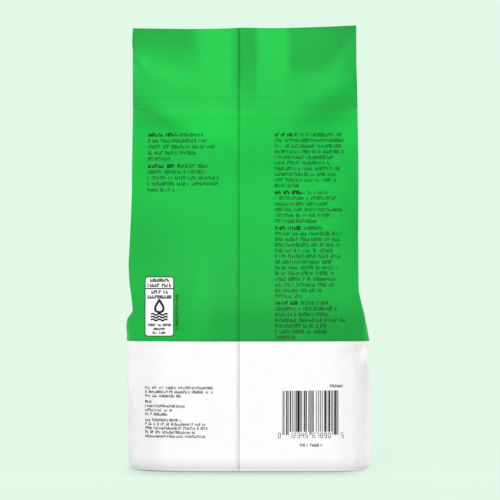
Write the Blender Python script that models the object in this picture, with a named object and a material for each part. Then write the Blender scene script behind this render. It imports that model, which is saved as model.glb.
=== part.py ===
"""A filled and sealed side-gusset pouch of bath salt, standing on its base.

The pouch is one folded web of printed film: a front and a back panel, a gusset folded in
at each side, a fin seal down the back, a press-to-close strip behind the flat top, and the
salt that fills it. Sealed, it is one closed solid.

Metres, +Z up. The origin is on the surface that the pouch stands on, under the middle of
its panels. -Y is the back panel, with the fin seal, and +Y is the front panel.
"""

import math

import bmesh
import bpy

# The film tube, laid flat
PANEL_WIDTH = 0.127
GUSSET_WIDTH = 0.076
FILM_PLY = 0.0002
GUSSET_SLOT = 0.0003

# Heights of the standing pouch
TOP_HEIGHT = 0.2485
SHOULDER_HEIGHT = 0.088
PRINT_BORDER_HEIGHT = 0.072

# How far the salt bows the two panels outwards, and the share of it left at the base
BACK_BOW = 0.006
FRONT_BOW = 0.007
PANEL_BASE_SHARE = 0.35
PANEL_BOW_REACH = 0.045
PANEL_BOW_POWER = 2.5

# The gussets' bows. Each ends over a stretch of height: a step at the left, a slope at the right
LEFT_BOW = 0.0041
RIGHT_BOW = 0.0076
LEFT_BOW_END = (0.0835, 0.0885)
RIGHT_BOW_END = (0.0660, 0.1040)
GUSSET_BASE_SHARE = 0.72
GUSSET_BOW_REACH = 0.040

# A dent in the right gusset: its height, its spread and its depth
RIGHT_DENT = (0.0605, 0.0045, 0.0022)

# The left folded edge is drawn in at the shoulder and swells above it, given in the same way
LEFT_EDGE_PINCH = (0.0885, 0.0070, 0.0016)
LEFT_EDGE_SWELL = (0.1150, 0.0200, -0.0010)

# The filled body settles to the right of the flat top
BODY_SHIFT = 0.0013

# The wedge from the shoulder up to the flat top
WEDGE_POWER = 1.55
WEDGE_BOW_POWER = 3.0
THINNING_START = 0.8

# The base
BASE_ROUND = 0.0065
LEFT_CORNER_POWER = 5.0
RIGHT_CORNER_POWER = 12.0
BODY_CORNER_SOFTNESS = 0.30
BASE_CORNER_REACH = 0.050

# The fin seal down the back
FIN_WIDTH = 0.010
FIN_ROOT = -0.0034
FIN_RISE = 0.0006
FIN_STEP = 0.0003

# The press-to-close strip, felt through the film as three ribs
STRIP_DROP = 0.0390
STRIP_RIBS = (0.0, 0.0042, 0.0067)
RIB_WIDTH = 0.0010
RIB_RISE = 0.0004
RIB_SLOPE = 0.0006
STRIP_CLEARANCE = 0.004

# The top edge climbs to the right, as the photographed one does
TOP_EDGE_CLIMB = 0.0007
TOP_EDGE_SAG = 0.0004

# Folded gusset under the panel: land beyond its tip, and the step down to the two plies
FOLD_LAND = 0.0007
FOLD_STEP = 0.0005

# Faces
GUSSET_COLUMNS = 7
MIDDLE_COLUMN = 0.0065
BASE_RINGS = 6
BODY_RING = 0.0065
SHOULDER_RING = 0.0033
TOP_RING = 0.010
RING_LEAST = 0.0001
SHARP_ANGLE = math.radians(38)

# Film colours, and the surface of the print
GREEN = (0.030, 0.600, 0.080, 1.0)
WHITE = (0.900, 0.900, 0.895, 1.0)
FILM_ROUGHNESS = 0.38


def climb(value, start, end):
    """0 below start and 1 above end, with a straight climb between."""
    return min(1.0, max(0.0, (value - start) / (end - start)))


def ease(value, start, end):
    """0 below start and 1 above end, with a smooth climb between."""
    share = climb(value, start, end)
    return share * share * (3 - 2 * share)


def chord(film, bow):
    """The straight distance between the ends of a film that bows out by a shallow arc."""
    return film - 8 / 3 * bow * bow / film


def flat_height():
    """Where the two panels have come together, just under the press-to-close strip."""
    return TOP_HEIGHT - STRIP_DROP - max(STRIP_RIBS) - STRIP_CLEARANCE


def layered_half_depth():
    """Half the thickness of the flat top over the folded gussets: two plies and half the slot."""
    return GUSSET_SLOT / 2 + 2 * FILM_PLY


def wedge_share(height):
    """0 at the shoulder and 1 where the panels meet."""
    return climb(height, SHOULDER_HEIGHT, flat_height())


def half_depth(height):
    """Half the depth between the folded edges of the back and front panels."""
    full = chord(GUSSET_WIDTH, (LEFT_BOW + RIGHT_BOW) / 2) / 2
    closing = 1 - wedge_share(height) ** WEDGE_POWER
    return layered_half_depth() + (full - layered_half_depth()) * closing


def filling(height, base_share, reach):
    """How much of its full bow the film has: base_share on the ground, rising to 1 at reach."""
    return base_share + (1 - base_share) * ease(height, 0, reach)


def dent(height, centre, spread_by, depth):
    """A smooth hollow around a height."""
    return depth * math.exp(-(((height - centre) / spread_by) ** 2))


def panel_bow(height, most):
    """How far a panel's middle stands out past its folded edges. It stays full well up the wedge."""
    closing = 1 - wedge_share(height) ** WEDGE_BOW_POWER
    return most * filling(height, PANEL_BASE_SHARE, PANEL_BOW_REACH) * closing


def gusset_bow(height, side):
    """How far the salt pushes a gusset out past the panel's folded edge."""
    full = filling(height, GUSSET_BASE_SHARE, GUSSET_BOW_REACH)
    if side < 0:
        return LEFT_BOW * full * (1 - ease(height, *LEFT_BOW_END))
    return RIGHT_BOW * full * (1 - climb(height, *RIGHT_BOW_END)) - dent(height, *RIGHT_DENT)


def edge_shift(height, side):
    """How far the left folded edge stands out, or is drawn in, near the shoulder."""
    if side > 0:
        return 0.0
    return -dent(height, *LEFT_EDGE_PINCH) - dent(height, *LEFT_EDGE_SWELL)


def body_shift(height):
    """How far the section's middle lies to the right."""
    return BODY_SHIFT * (1 - ease(height, 0, SHOULDER_HEIGHT))


def half_width(height, side):
    """From the middle to a panel's folded edge. The film's width is kept as the panel bows."""
    bow = panel_bow(height, (BACK_BOW + FRONT_BOW) / 2)
    return chord(PANEL_WIDTH, bow) / 2 + edge_shift(height, side)


def gusset_tuck(height):
    """How far the gusset's fold lies in from the panel's edge. Each leg keeps its film's length."""
    leg = GUSSET_WIDTH / 2
    reach = half_depth(height) - layered_half_depth()
    full = half_depth(0) - layered_half_depth()
    return math.sqrt(max(0.0, 1 - (reach / full) ** 2)) * leg


def corner_pull(across, along, height, side):
    """Softens the corners of the plan: a square's outline drawn part of the way in to a superellipse."""
    power = LEFT_CORNER_POWER if side < 0 else RIGHT_CORNER_POWER
    soft = 1 - (1 - BODY_CORNER_SOFTNESS) * ease(height, 0, BASE_CORNER_REACH)
    soft *= 1 - ease(height, BASE_CORNER_REACH, SHOULDER_HEIGHT)
    superellipse = (abs(across) ** power + abs(along) ** power) ** (-1 / power)
    return 1 - soft * (1 - superellipse)


def panel_columns():
    """Places across a panel, from -1 at its left fold to 1 at its right fold."""
    half = PANEL_WIDTH / 2
    tip = half - GUSSET_WIDTH / 2
    step_start = tip - FOLD_LAND
    step_end = step_start - FOLD_STEP
    left = [-half + (half - tip) * i / GUSSET_COLUMNS for i in range(GUSSET_COLUMNS + 1)]
    left += [-step_start, -step_end]
    fin = [FIN_ROOT - FIN_STEP, FIN_ROOT, FIN_ROOT + FIN_WIDTH, FIN_ROOT + FIN_WIDTH + FIN_STEP]
    middle = []
    for start, end in ((-step_end, fin[0]), (fin[1], fin[2]), (fin[3], step_end)):
        count = max(1, round((end - start) / MIDDLE_COLUMN))
        middle += [start + (end - start) * i / count for i in range(count + 1)]
    columns = left + middle[1:-1] + [-x for x in reversed(left)]
    return [x / half for x in columns]


def fin_share(across):
    """1 on the folded fin seal and 0 off it."""
    at = across * PANEL_WIDTH / 2
    return 1.0 if FIN_ROOT - FIN_STEP / 2 < at < FIN_ROOT + FIN_WIDTH + FIN_STEP / 2 else 0.0


def over_gusset(across):
    """1 where the folded gusset lies under the panel at the flat top, and 0 between the gussets."""
    tip = PANEL_WIDTH / 2 - GUSSET_WIDTH / 2 - FOLD_LAND
    return 1.0 if abs(across) * PANEL_WIDTH / 2 > tip - FOLD_STEP / 2 else 0.0


def rib_rise(height):
    """How far the press-to-close strip lifts the film."""
    rise = 0.0
    for drop in STRIP_RIBS:
        centre = TOP_HEIGHT - STRIP_DROP - drop
        away = abs(height - centre) - RIB_WIDTH / 2
        rise = max(rise, RIB_RISE * (1 - climb(away, 0, RIB_SLOPE)))
    return rise


def panel_point(across, height, face):
    """A point of the back (face -1) or front (face 1) panel's outer surface."""
    side = -1 if across < 0 else 1
    depth = half_depth(height)
    thinning = (1 - over_gusset(across)) * ease(wedge_share(height), THINNING_START, 1)
    depth -= thinning * (layered_half_depth() - FILM_PLY)
    pull = corner_pull(across, 1, height, side)
    bow = panel_bow(height, BACK_BOW if face < 0 else FRONT_BOW)
    out = depth * pull + bow * (1 - abs(across) ** PANEL_BOW_POWER) + rib_rise(height)
    if face < 0:
        out += FIN_RISE * fin_share(across) * ease(height, 0, BASE_ROUND)
    return body_shift(height) + across * half_width(height, side) * pull, face * out


def gusset_point(along, height, side, face):
    """A point of a gusset, with along from 0 at its middle fold to 1 at the edge of the panel it meets."""
    pull = corner_pull(1, along, height, side)
    open_depth = half_depth(height) - 2 * FILM_PLY - GUSSET_SLOT / 2
    depth = GUSSET_SLOT / 2 + along * max(open_depth, 0.0)
    out = half_width(height, side) * pull
    out += gusset_bow(height, side) * (1 - along * along)
    out -= gusset_tuck(height) * (1 - along)
    return body_shift(height) + side * out, face * depth * pull


def section(height):
    """The pouch's outline at a height, anticlockwise from the left end of the back panel."""
    columns = panel_columns()
    outwards = [i / GUSSET_COLUMNS for i in range(GUSSET_COLUMNS + 1)]
    inwards = outwards[::-1]
    points = [panel_point(x, height, -1) for x in columns]
    points += [gusset_point(along, height, 1, -1) for along in inwards]
    points += [gusset_point(along, height, 1, 1) for along in outwards]
    points += [panel_point(x, height, 1) for x in reversed(columns)]
    points += [gusset_point(along, height, -1, 1) for along in inwards]
    points += [gusset_point(along, height, -1, -1) for along in outwards]
    return points


def base_section():
    """The outline of the flat under the pouch: the section just above, drawn in by the edge's round."""
    narrower = 1 - BASE_ROUND / half_width(BASE_ROUND, 1)
    shallower = 1 - BASE_ROUND / half_depth(BASE_ROUND)
    return [(x * narrower, y * shallower) for x, y in section(BASE_ROUND)]


def spread(start, end, step):
    """Evenly spaced heights above start, up to and with end, about step apart."""
    count = max(1, round((end - start) / step))
    return [start + (end - start) * i / count for i in range(1, count + 1)]


def ring_step(height):
    """The distance between rings: closer where the gussets' bows end and the wedge starts."""
    if height > TOP_HEIGHT - STRIP_DROP:
        return TOP_RING
    return SHOULDER_RING if RIGHT_BOW_END[0] < height < RIGHT_BOW_END[1] else BODY_RING


def ring_heights():
    """Heights of the rings above the base's rounded edge, with one at each height that matters."""
    keys = [PRINT_BORDER_HEIGHT, *RIGHT_BOW_END, *LEFT_BOW_END, flat_height(), TOP_HEIGHT]
    for drop in STRIP_RIBS:
        rib = TOP_HEIGHT - STRIP_DROP - drop
        for reach in (RIB_WIDTH / 2, RIB_WIDTH / 2 + RIB_SLOPE):
            keys += [rib - reach, rib + reach]
    heights = []
    low = BASE_ROUND
    for high in sorted(key for key in keys if key > BASE_ROUND):
        if high - low > RING_LEAST:
            heights += spread(low, high, ring_step((low + high) / 2))
            low = high
    return heights


def top_edge_shift(x, height):
    """The flat top leans up to the right, and its edge sags between the corners."""
    strip = TOP_HEIGHT - STRIP_DROP
    across = x / (PANEL_WIDTH / 2)
    return climb(height, strip, TOP_HEIGHT) * (
        TOP_EDGE_CLIMB * across - TOP_EDGE_SAG * (1 - across * across)
    )


def rings():
    """All the rings of points, from the flat of the base to the top edge."""
    low, start = base_section(), section(BASE_ROUND)
    made = []
    for i in range(BASE_RINGS + 1):
        turn = math.pi / 2 * i / BASE_RINGS
        out, height = math.sin(turn), BASE_ROUND * (1 - math.cos(turn))
        made.append(
            [(a + (c - a) * out, b + (d - b) * out, height) for (a, b), (c, d) in zip(low, start)]
        )
    for height in ring_heights():
        made.append([(x, y, height + top_edge_shift(x, height)) for x, y in section(height)])
    return made


def top_faces(top):
    """Closes the top edge with strips that run from the back panel to the gussets and the front."""
    columns, legs = len(panel_columns()), GUSSET_COLUMNS + 1
    back = top[:columns]
    right_back = top[columns : columns + legs]
    right_front = top[columns + legs : columns + 2 * legs]
    front = top[columns + 2 * legs : 2 * columns + 2 * legs][::-1]
    left_front = top[2 * columns + 2 * legs : 2 * columns + 3 * legs]
    left_back = top[2 * columns + 3 * legs :]
    faces = []
    for i in range(GUSSET_COLUMNS):
        j = columns - 1 - i
        faces.append((back[i], back[i + 1], left_back[-2 - i], left_back[-1 - i]))
        faces.append((left_front[i], left_front[i + 1], front[i + 1], front[i]))
        faces.append((back[j - 1], back[j], right_back[i], right_back[i + 1]))
        faces.append((right_front[-2 - i], right_front[-1 - i], front[j], front[j - 1]))
    first, last = GUSSET_COLUMNS, columns - 1 - GUSSET_COLUMNS
    faces.append((back[first], back[first + 1], front[first + 1], front[first], left_front[-1], left_back[0]))
    faces.append((back[last - 1], back[last], right_back[-1], right_front[0], front[last], front[last - 1]))
    for i in range(first + 1, last - 1):
        faces.append((back[i], back[i + 1], front[i + 1], front[i]))
    return faces


def film_material(name, colour):
    """Printed film: a smooth satin plastic."""
    material = bpy.data.materials.new(name)
    material.use_nodes = True
    shader = material.node_tree.nodes["Principled BSDF"]
    shader.inputs["Base Color"].default_value = colour
    shader.inputs["Roughness"].default_value = FILM_ROUGHNESS
    shader.inputs["Metallic"].default_value = 0.0
    material.diffuse_color = colour
    return material


def build_pouch():
    """Lofts the pouch through its rings and closes it under the base and along the top edge."""
    mesh = bpy.data.meshes.new("pouch")
    mesh.materials.append(film_material("green_film", GREEN))
    mesh.materials.append(film_material("white_film", WHITE))
    shape = bmesh.new()
    levels = [[shape.verts.new(point) for point in ring] for ring in rings()]
    for low, high in zip(levels, levels[1:]):
        for i in range(len(low)):
            j = (i + 1) % len(low)
            face = shape.faces.new((low[i], low[j], high[j], high[i]))
            middle = (low[i].co.z + high[i].co.z) / 2
            face.material_index = 1 if middle < PRINT_BORDER_HEIGHT else 0
            face.smooth = True
    base = shape.faces.new(list(reversed(levels[0])))
    base.material_index = 1
    for corners in top_faces(levels[-1]):
        shape.faces.new(corners)
    bmesh.ops.triangulate(shape, faces=[f for f in shape.faces if len(f.verts) > 4])
    bmesh.ops.recalc_face_normals(shape, faces=shape.faces)
    shape.to_mesh(mesh)
    shape.free()
    mesh.set_sharp_from_angle(angle=SHARP_ANGLE)
    return bpy.data.objects.new("pouch", mesh)


def main():
    for old in list(bpy.data.objects):
        bpy.data.objects.remove(old, do_unlink=True)
    parts = bpy.data.collections.new("bath_salt_pouch")
    bpy.context.scene.collection.children.link(parts)
    parts.objects.link(build_pouch())


main()
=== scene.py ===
"""Dresses the filled side-gusset pouch: its printed film with every fold, the print, and a studio.

Metres, +Z up. The pouch stands on z = 0, and its back panel, with the lap seal, faces -Y and the
camera. The film is worked out as surfaces of two parameters: a place round the tube and a height.
"""

import math

import bpy
import numpy as np
from bpy.props import FloatProperty, FloatVectorProperty, IntProperty, PointerProperty
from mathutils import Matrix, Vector
from mathutils.geometry import tessellate_polygon


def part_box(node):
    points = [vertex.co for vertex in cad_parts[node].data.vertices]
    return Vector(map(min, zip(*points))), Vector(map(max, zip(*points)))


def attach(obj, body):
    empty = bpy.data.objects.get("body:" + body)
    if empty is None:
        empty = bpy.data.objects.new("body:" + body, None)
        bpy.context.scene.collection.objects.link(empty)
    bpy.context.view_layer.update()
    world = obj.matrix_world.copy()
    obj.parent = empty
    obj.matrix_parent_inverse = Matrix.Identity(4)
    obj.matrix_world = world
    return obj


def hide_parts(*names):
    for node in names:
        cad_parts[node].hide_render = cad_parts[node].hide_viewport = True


bl_info = {
    "name": "Bath Salt Pouch",
    "version": (1, 0, 0),
    "blender": (4, 5, 0),
    "location": "3D View > Sidebar > Pouch",
    "description": "Makes a filled side-gusset pouch with its print, and a studio round it",
    "category": "Add Mesh",
}

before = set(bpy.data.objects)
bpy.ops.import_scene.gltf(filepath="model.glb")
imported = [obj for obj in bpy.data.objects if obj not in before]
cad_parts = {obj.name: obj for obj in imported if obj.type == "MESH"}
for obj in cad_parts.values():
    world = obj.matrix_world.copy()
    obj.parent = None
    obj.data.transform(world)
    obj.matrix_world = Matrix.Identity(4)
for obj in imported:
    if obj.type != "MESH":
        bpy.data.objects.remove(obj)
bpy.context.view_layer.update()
POUCH_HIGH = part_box("pouch")[1]

# The top edge, at shares of the half width: it sags at the left and climbs to the right
TOP_CLIMB = 0.0007
TOP_SHARES = (-1.0, -0.80, -0.50, -0.25, -0.05, 0.05, 0.25, 0.50, 0.75, 1.0)
TOP_RISES = (-0.0004, -0.0006, -0.0008, -0.0006, -0.0001, -0.0001, -0.0003, 0.0, 0.0005, 0.0012)

# The wedge that closes the pouch
WEDGE_POWER = 1.55
WEDGE_BOW_POWER = 3.0
WEDGE_SOFTNESS = 0.0009
THINNING_START = 0.8
STRIP_CLEARANCE = 0.004
STRIP_RIBS = (0.0, 0.0042, 0.0067)
RIB_FOOT = 1.2

# Bows of the filled film
PANEL_BASE_SHARE = 0.35
PANEL_BOW_REACH = 0.045
PANEL_BOW_POWER = 2.5
LEFT_BOW_END = (0.0780, 0.0860)
RIGHT_BOW_END = (0.0500, 0.0760)
GUSSET_BASE_SHARE = 0.72
GUSSET_BOW_REACH = 0.040
BODY_SHIFT = 0.0013

# A dent of the right outline: a height, a spread and a depth. The gusset and the folded edge share it
RIGHT_DENT = (0.0590, 0.0048, 0.0026)
GUSSET_DENT_SHARE = 0.3
EDGE_DENT_SHARE = 0.7

# The salt draws the panels' folded edges out from about the shoulder down: in a short slope at the left, and
# in a long one at the right
LEFT_FLARE = 0.0030
LEFT_FLARE_SLOPE = (0.0838, 0.0882)
RIGHT_FLARE = 0.0064
RIGHT_FLARE_SLOPE = (0.0720, 0.0995)
RIGHT_FLARE_LOSS = 0.0034
RIGHT_LOSS_END = (0.0480, 0.0720)

# Small departures of the folded edges from straight, outwards, at heights
LEFT_EDGE = (
    (0.0800, -0.0004),
    (0.0885, -0.0009),
    (0.0950, -0.0001),
    (0.1050, 0.0015),
    (0.1140, 0.0021),
    (0.1220, 0.0017),
    (0.1330, 0.0012),
    (0.1440, 0.0006),
    (0.1560, 0.0002),
    (0.1800, 0.0000),
    (0.2350, 0.0000),
    (0.2400, 0.0004),
    (0.2440, 0.0003),
    (0.2485, 0.0000),
)
RIGHT_EDGE = (
    (0.0400, 0.0005),
    (0.0500, -0.0002),
    (0.0587, 0.0001),
    (0.0641, -0.0001),
    (0.0780, -0.0002),
    (0.0860, 0.0001),
    (0.0910, 0.0004),
    (0.0995, 0.0005),
    (0.1500, 0.0004),
    (0.1950, 0.0003),
    (0.2120, 0.0001),
    (0.2250, -0.0004),
    (0.2485, -0.0005),
)

# Corners of the plan
LEFT_CORNER_POWER = 5.0
RIGHT_CORNER_POWER = 6.0
RIGHT_BASE_POWER = 12.0
RIGHT_BASE_REACH = 0.030
BODY_CORNER_SOFTNESS = 0.75
BASE_CORNER_REACH = 0.050

# The gable: two slanting lines below which the corners of the panels stay upright. Each has the x and the
# height of its middle, and its slope in degrees
GABLES = ((-0.0470, 0.1972, -33), (0.0453, 0.1985, 28))
GABLE_SOFTNESS = 0.0012
GABLE_REACH = 0.012
GABLE_DROP = 0.00070
GABLE_START = (0.018, 0.036)

# The lap seal: a dip before its free edge, a narrow step, a low crown past it, and an even fall to its end
SEAL_DIP = 0.00016
SEAL_DIP_REACH = 0.0015
SEAL_STEP = (-0.00008, 0.00008)
SEAL_CROWN_PLACE = 0.0024
SEAL_CROWN_SPREAD = 0.0021
SEAL_CROWN_SHARE = 0.35
SEAL_FALL = 0.8
SEAL_FALL_START = 0.45
SEAL_FOOT = 0.004

# Where the relief changes: distances from the start of the flat top, and from the shoulder
FLAT_TOP_SPAN = (-0.012, 0.004)
BODY_SPAN = (-0.01, 0.03)

# How late the waves die away towards a folded edge, and the base's hollow towards its rim
EDGE_POWER = 8
RIM_POWER = 6

# The film's waves: how many cosines, their shortest and longest lengths, and shares of the waves' rise
PANEL_WAVES = (9, 0.022, 0.060)
PANEL_FINE_WAVES = (12, 0.009, 0.018)
PANEL_FINE_SHARE = 0.22
FLAT_TOP_CALM = 0.75
GUSSET_WAVES = (9, 0.016, 0.045)
GUSSET_FINE_WAVES = (10, 0.007, 0.014)
GUSSET_FINE_SHARE = 0.25
GUSSET_WAVE_SHARE = 1.2
GUSSET_LOOSE = (0.004, 0.020)
BASE_WAVES = (8, 0.012, 0.035)
WAVE_FOOT = 0.012

# What the front panel, the gussets and the base add to the wave seed
FRONT_SEED = 7
LEFT_GUSSET_SEED = 20
RIGHT_GUSSET_SEED = 30
BASE_SEED = 50

# Where the folded gussets start to open, below the top edge, and how far that line climbs towards the sides
GUSSET_TIP_SPAN = (-0.0045, 0.0015)
LEFT_OPENING = 0.0268
LEFT_OPENING_CLIMB = 0.0145
LEFT_OPENING_MOST = 1.1
RIGHT_OPENING = 0.0240
RIGHT_OPENING_CLIMB = 0.0165
RIGHT_OPENING_SPAN = (0.45, 0.95)

# The panel's step under that line: its rise, and where it starts, ends and comes back at the strip
OPENING_RISE = 0.00090
OPENING_SPREAD = (-0.1, 0.4)
OPENING_SPAN = (-0.0100, 0.0010)
STRIP_RETURN_START = 0.0005
LEFT_STRIP_RETURN = 0.0150
RIGHT_STRIP_RETURN = 0.0110

# The left back corner's lift off the floor, and where it fades
CORNER_LIFT = 0.0002
CORNER_LIFT_LEFT = (0.015, 0.062)
CORNER_LIFT_BACK = 0.040
CORNER_LIFT_TOP = 0.030

# The grid of the film
BACK_COLUMNS = 128
FRONT_COLUMNS = 84
LEG_COLUMNS = 24
BODY_ROWS = 168
BASE_TURN_ROWS = 9
BASE_FLAT_ROWS = 12

# More columns at the seal's edge, in tenths of a millimetre, and before the gussets' middle folds
SEAL_COLUMNS = (-38, -30, -24, -19, -14, -10, -6, -3, -1.2, -0.5, 0.3, 1.2, 2.4, 5, 10, 16, 23, 32)
TIP_COLUMNS = (0.0012, 0.0009, 0.0006, 0.0003, 0.0)
COLUMN_GAP = 0.004

# More rows at the ribs, in rib widths, and above the print's border
RIB_ROWS = (-1.4, -1.0, -0.7, -0.4, 0.0, 0.4, 0.7, 1.0, 1.4)
BORDER_ROWS = (0.0, 0.0005, 0.0010, 0.0016, 0.0024)
ROW_GAP = 0.0004

# The softened folds: how many columns they take, the share moved in a round, and where it ends under the top
FOLD_COLUMNS = 2.2
FOLD_SHARE = 0.5
FOLD_END = 0.02

# The base: its gap to the floor, its innermost ring, its waves, and the V-shaped fold at each side under it
BASE_GAP = 0.00005
BASE_INNER_SHARE = 0.03
BASE_WAVE_RISE = 0.0004
BASE_FOLD_PLACE = 0.024
BASE_FOLD_SPREAD = 0.0010
BASE_FOLD_RISE = 0.0005

# How much deeper the folded gussets and the lap look, and how deep the painted shadow before the seal is, and
# where each starts and ends. LAP_PLIES are starts, ends and depths
LEFT_PLY_SHARE = 0.57
LEFT_PLY_SPAN = (-0.0030, 0.0090)
LEFT_PLY_POWER = 1.6
RIGHT_PLY_SHARE = 0.46
RIGHT_PLY_SPAN = (-0.0040, 0.0020)
RIGHT_PLY_BOUND = (-0.0060, 0.0050)
LAP_PLIES = ((-0.0070, -0.0024, 0.32), (-0.0024, 0.0, 0.16))
LAP_END_SPAN = (-0.0016, 0.0016)
LAP_TOP_SPAN = (-0.0500, -0.0200)
SEAL_PAINTED_SHADOW_SHARE = 0.45
SEAL_PAINTED_SHADOW_FOOT = 0.0015

# Painted light on the green film: its level low on the body and what it gains above, and its painted shade by
# the border
LOW_PAINTED_LIGHT = 0.77
PAINTED_LIGHT_GAIN = 0.21
PAINTED_LIGHT_CLIMB = (0.105, 0.185)
PAINTED_BORDER_SHADE = 0.12
PAINTED_BORDER_SHADE_SPAN = (-0.034, -0.006)
PAINTED_BORDER_SHADE_END = (0.080, 0.102)

# Painted shade and painted highlights on the white film: starts and ends outwards from the middle or upwards,
# and depths. Negative depths are painted highlights
WHITE_LOWER = (0.030, 0.055)
WHITE_LEFT_SPAN = (0.041, 0.054)
WHITE_LEFT_DEPTH = 0.060
WHITE_LEFT_GAIN = 0.035
WHITE_LEFT_EDGE = (0.0600, 0.0645)
WHITE_LEFT_RETURN = 0.12
WHITE_LEFT_LOSS = 0.075
WHITE_RIGHT_SHADES = ((0.046, 0.056, 0.05), (0.0575, 0.0630, 0.085), (0.0660, 0.0705, -0.20))
WHITE_DENT_HIGHLIGHT = (0.0662, 0.0640, 0.0034, 0.0052, 0, 0.20)
WHITE_BASE_SHADES = ((0.0005, 0.0090, 0.21), (0.0, 0.0022, -0.55))
WHITE_BASE_BACK = 0.030
WHITE_BASE_CORNERS = (0.036, 0.060)
WHITE_CORNER_LOSS = 0.40
WHITE_MOST = 1.08


def climb(value, start, end):
    """0 below start and 1 above end, with a straight climb between."""
    return np.clip((value - start) / (end - start), 0.0, 1.0)


def ease(value, start, end):
    """0 below start and 1 above end, with the smooth climb 3s^2 - 2s^3 between."""
    share = climb(value, start, end)
    return share * share * (3 - 2 * share)


def ease_by(value, place, span):
    """The smooth climb between two distances from a place, negative where they lie before it."""
    return ease(value, place + span[0], place + span[1])


def hollow(height, centre, spread, depth):
    """A smooth hollow round a height: depth times exp of minus the squared share of the spread."""
    return depth * np.exp(-(((height - centre) / spread) ** 2))


def chord(film, bow):
    """Between the ends of a shallow arc: its length, less 8/3 of the square of its bow over that length."""
    return film - 8 / 3 * bow * bow / film


def flat_height(size):
    """Where the two panels have come together, just under the press-to-close strip."""
    return size.top_height - size.strip_drop - max(STRIP_RIBS) - STRIP_CLEARANCE


def layered_half_depth(size):
    """Half the thickness of the flat top over the folded gussets."""
    return size.gusset_slot / 2 + 2 * size.film_ply


def wedge_share(height, size):
    """0 at the shoulder and 1 where the panels meet."""
    return climb(height, size.shoulder_height, flat_height(size))


def half_depth(height, size):
    """Half the depth between the folded edges of the panels: full, less the wedge's power curve.

    The curve runs out softly where the panels meet, as k ln(1 + e^(d / k)) of its distance d.
    """
    full = chord(size.gusset_width, (size.left_bow + size.right_bow) / 2) / 2
    share = (height - size.shoulder_height) / (flat_height(size) - size.shoulder_height)
    reach = (full - layered_half_depth(size)) * (1 - np.clip(share, 0, 1.3) ** WEDGE_POWER)
    return layered_half_depth(size) + WEDGE_SOFTNESS * np.log1p(np.exp(reach / WEDGE_SOFTNESS))


def filling(height, base_share, reach):
    """How much of its full bow the film has: base_share on the ground, rising to 1 at reach."""
    return base_share + (1 - base_share) * ease(height, 0, reach)


def panel_bow(height, most, size):
    """How far a panel's middle stands out past its folded edges."""
    closing = 1 - wedge_share(height, size) ** WEDGE_BOW_POWER
    return most * filling(height, PANEL_BASE_SHARE, PANEL_BOW_REACH) * closing


def gusset_bow(height, side, size):
    """How far the salt pushes a gusset out past the panel's folded edge."""
    full = filling(height, GUSSET_BASE_SHARE, GUSSET_BOW_REACH)
    if side < 0:
        return size.left_bow * full * (1 - ease(height, *LEFT_BOW_END))
    dent = GUSSET_DENT_SHARE * hollow(height, *RIGHT_DENT)
    return size.right_bow * full * (1 - ease(height, *RIGHT_BOW_END)) - dent


def edge_flare(height, side):
    """How far a panel's folded edge is drawn out by the salt: straight climbs downwards, less the losses."""
    left = LEFT_FLARE * (1 - climb(height, *LEFT_FLARE_SLOPE))
    loss = RIGHT_FLARE_LOSS * (1 - ease(height, *RIGHT_LOSS_END))
    loss = loss + EDGE_DENT_SHARE * hollow(height, *RIGHT_DENT)
    right = RIGHT_FLARE * (1 - climb(height, *RIGHT_FLARE_SLOPE)) - loss
    return np.where(side < 0, left, right)


def edge_trim(height, side):
    """Small departures of the folded edge from straight: straight lines between the tables' places."""
    left = np.interp(height, *np.transpose(LEFT_EDGE))
    return np.where(side < 0, left, np.interp(height, *np.transpose(RIGHT_EDGE)))


def half_width(height, side, size):
    """From the middle to a panel's folded edge: half the bowed film's chord, the flare and the departures."""
    bow = panel_bow(height, (size.back_bow + size.front_bow) / 2, size)
    return chord(size.panel_width, bow) / 2 + edge_flare(height, side) + edge_trim(height, side)


def gusset_tuck(height, size):
    """How far the gusset's middle fold lies in from the panel's edge, each leg keeping its length."""
    reach = half_depth(height, size) - layered_half_depth(size)
    full = half_depth(0.0, size) - layered_half_depth(size)
    return np.sqrt(np.clip(1 - (reach / full) ** 2, 0, 1)) * size.gusset_width / 2


def corner_pull(across, along, height, side, size):
    """Softens the plan's corners: a square's outline drawn part of the way in to a superellipse."""
    upwards = ease(height, 0.0, RIGHT_BASE_REACH)
    right_power = RIGHT_BASE_POWER + (RIGHT_CORNER_POWER - RIGHT_BASE_POWER) * upwards
    power = np.where(side < 0, LEFT_CORNER_POWER, right_power)
    soft = 1 - (1 - BODY_CORNER_SOFTNESS) * ease(height, 0, BASE_CORNER_REACH)
    soft = soft * (1 - ease(height, BASE_CORNER_REACH, size.shoulder_height))
    superellipse = (np.abs(across) ** power + np.abs(along) ** power) ** (-1 / power)
    return 1 - soft * (1 - superellipse)


def body_shift(height, size):
    """The filled body's sides settle a little to the right of the flat top's."""
    return BODY_SHIFT * (1 - ease(height, 0, size.shoulder_height))


def fold(x, height, centre_x, centre_height, length, breadth, turn, rise):
    """A long swelling or crease: rise times a bell along and a bell across, turned by an angle."""
    turned = math.radians(turn)
    right, up = x - centre_x, height - centre_height
    along = right * math.cos(turned) + up * math.sin(turned)
    over = up * math.cos(turned) - right * math.sin(turned)
    return rise * np.exp(-((along / length) ** 2) - (over / breadth) ** 2)


def crease(x, height, centre_x, centre_height, length, breadth, turn, drop):
    """A sloping crease, a ridge beside a furrow: drop times u e^((1 - u^2) / 2), and a bell along it."""
    turned = math.radians(turn)
    right, up = x - centre_x, height - centre_height
    along = right * math.cos(turned) + up * math.sin(turned)
    over = (up * math.cos(turned) - right * math.sin(turned)) / breadth
    return drop * over * np.exp((1 - over**2) / 2 - (along / length) ** 2)


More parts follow.
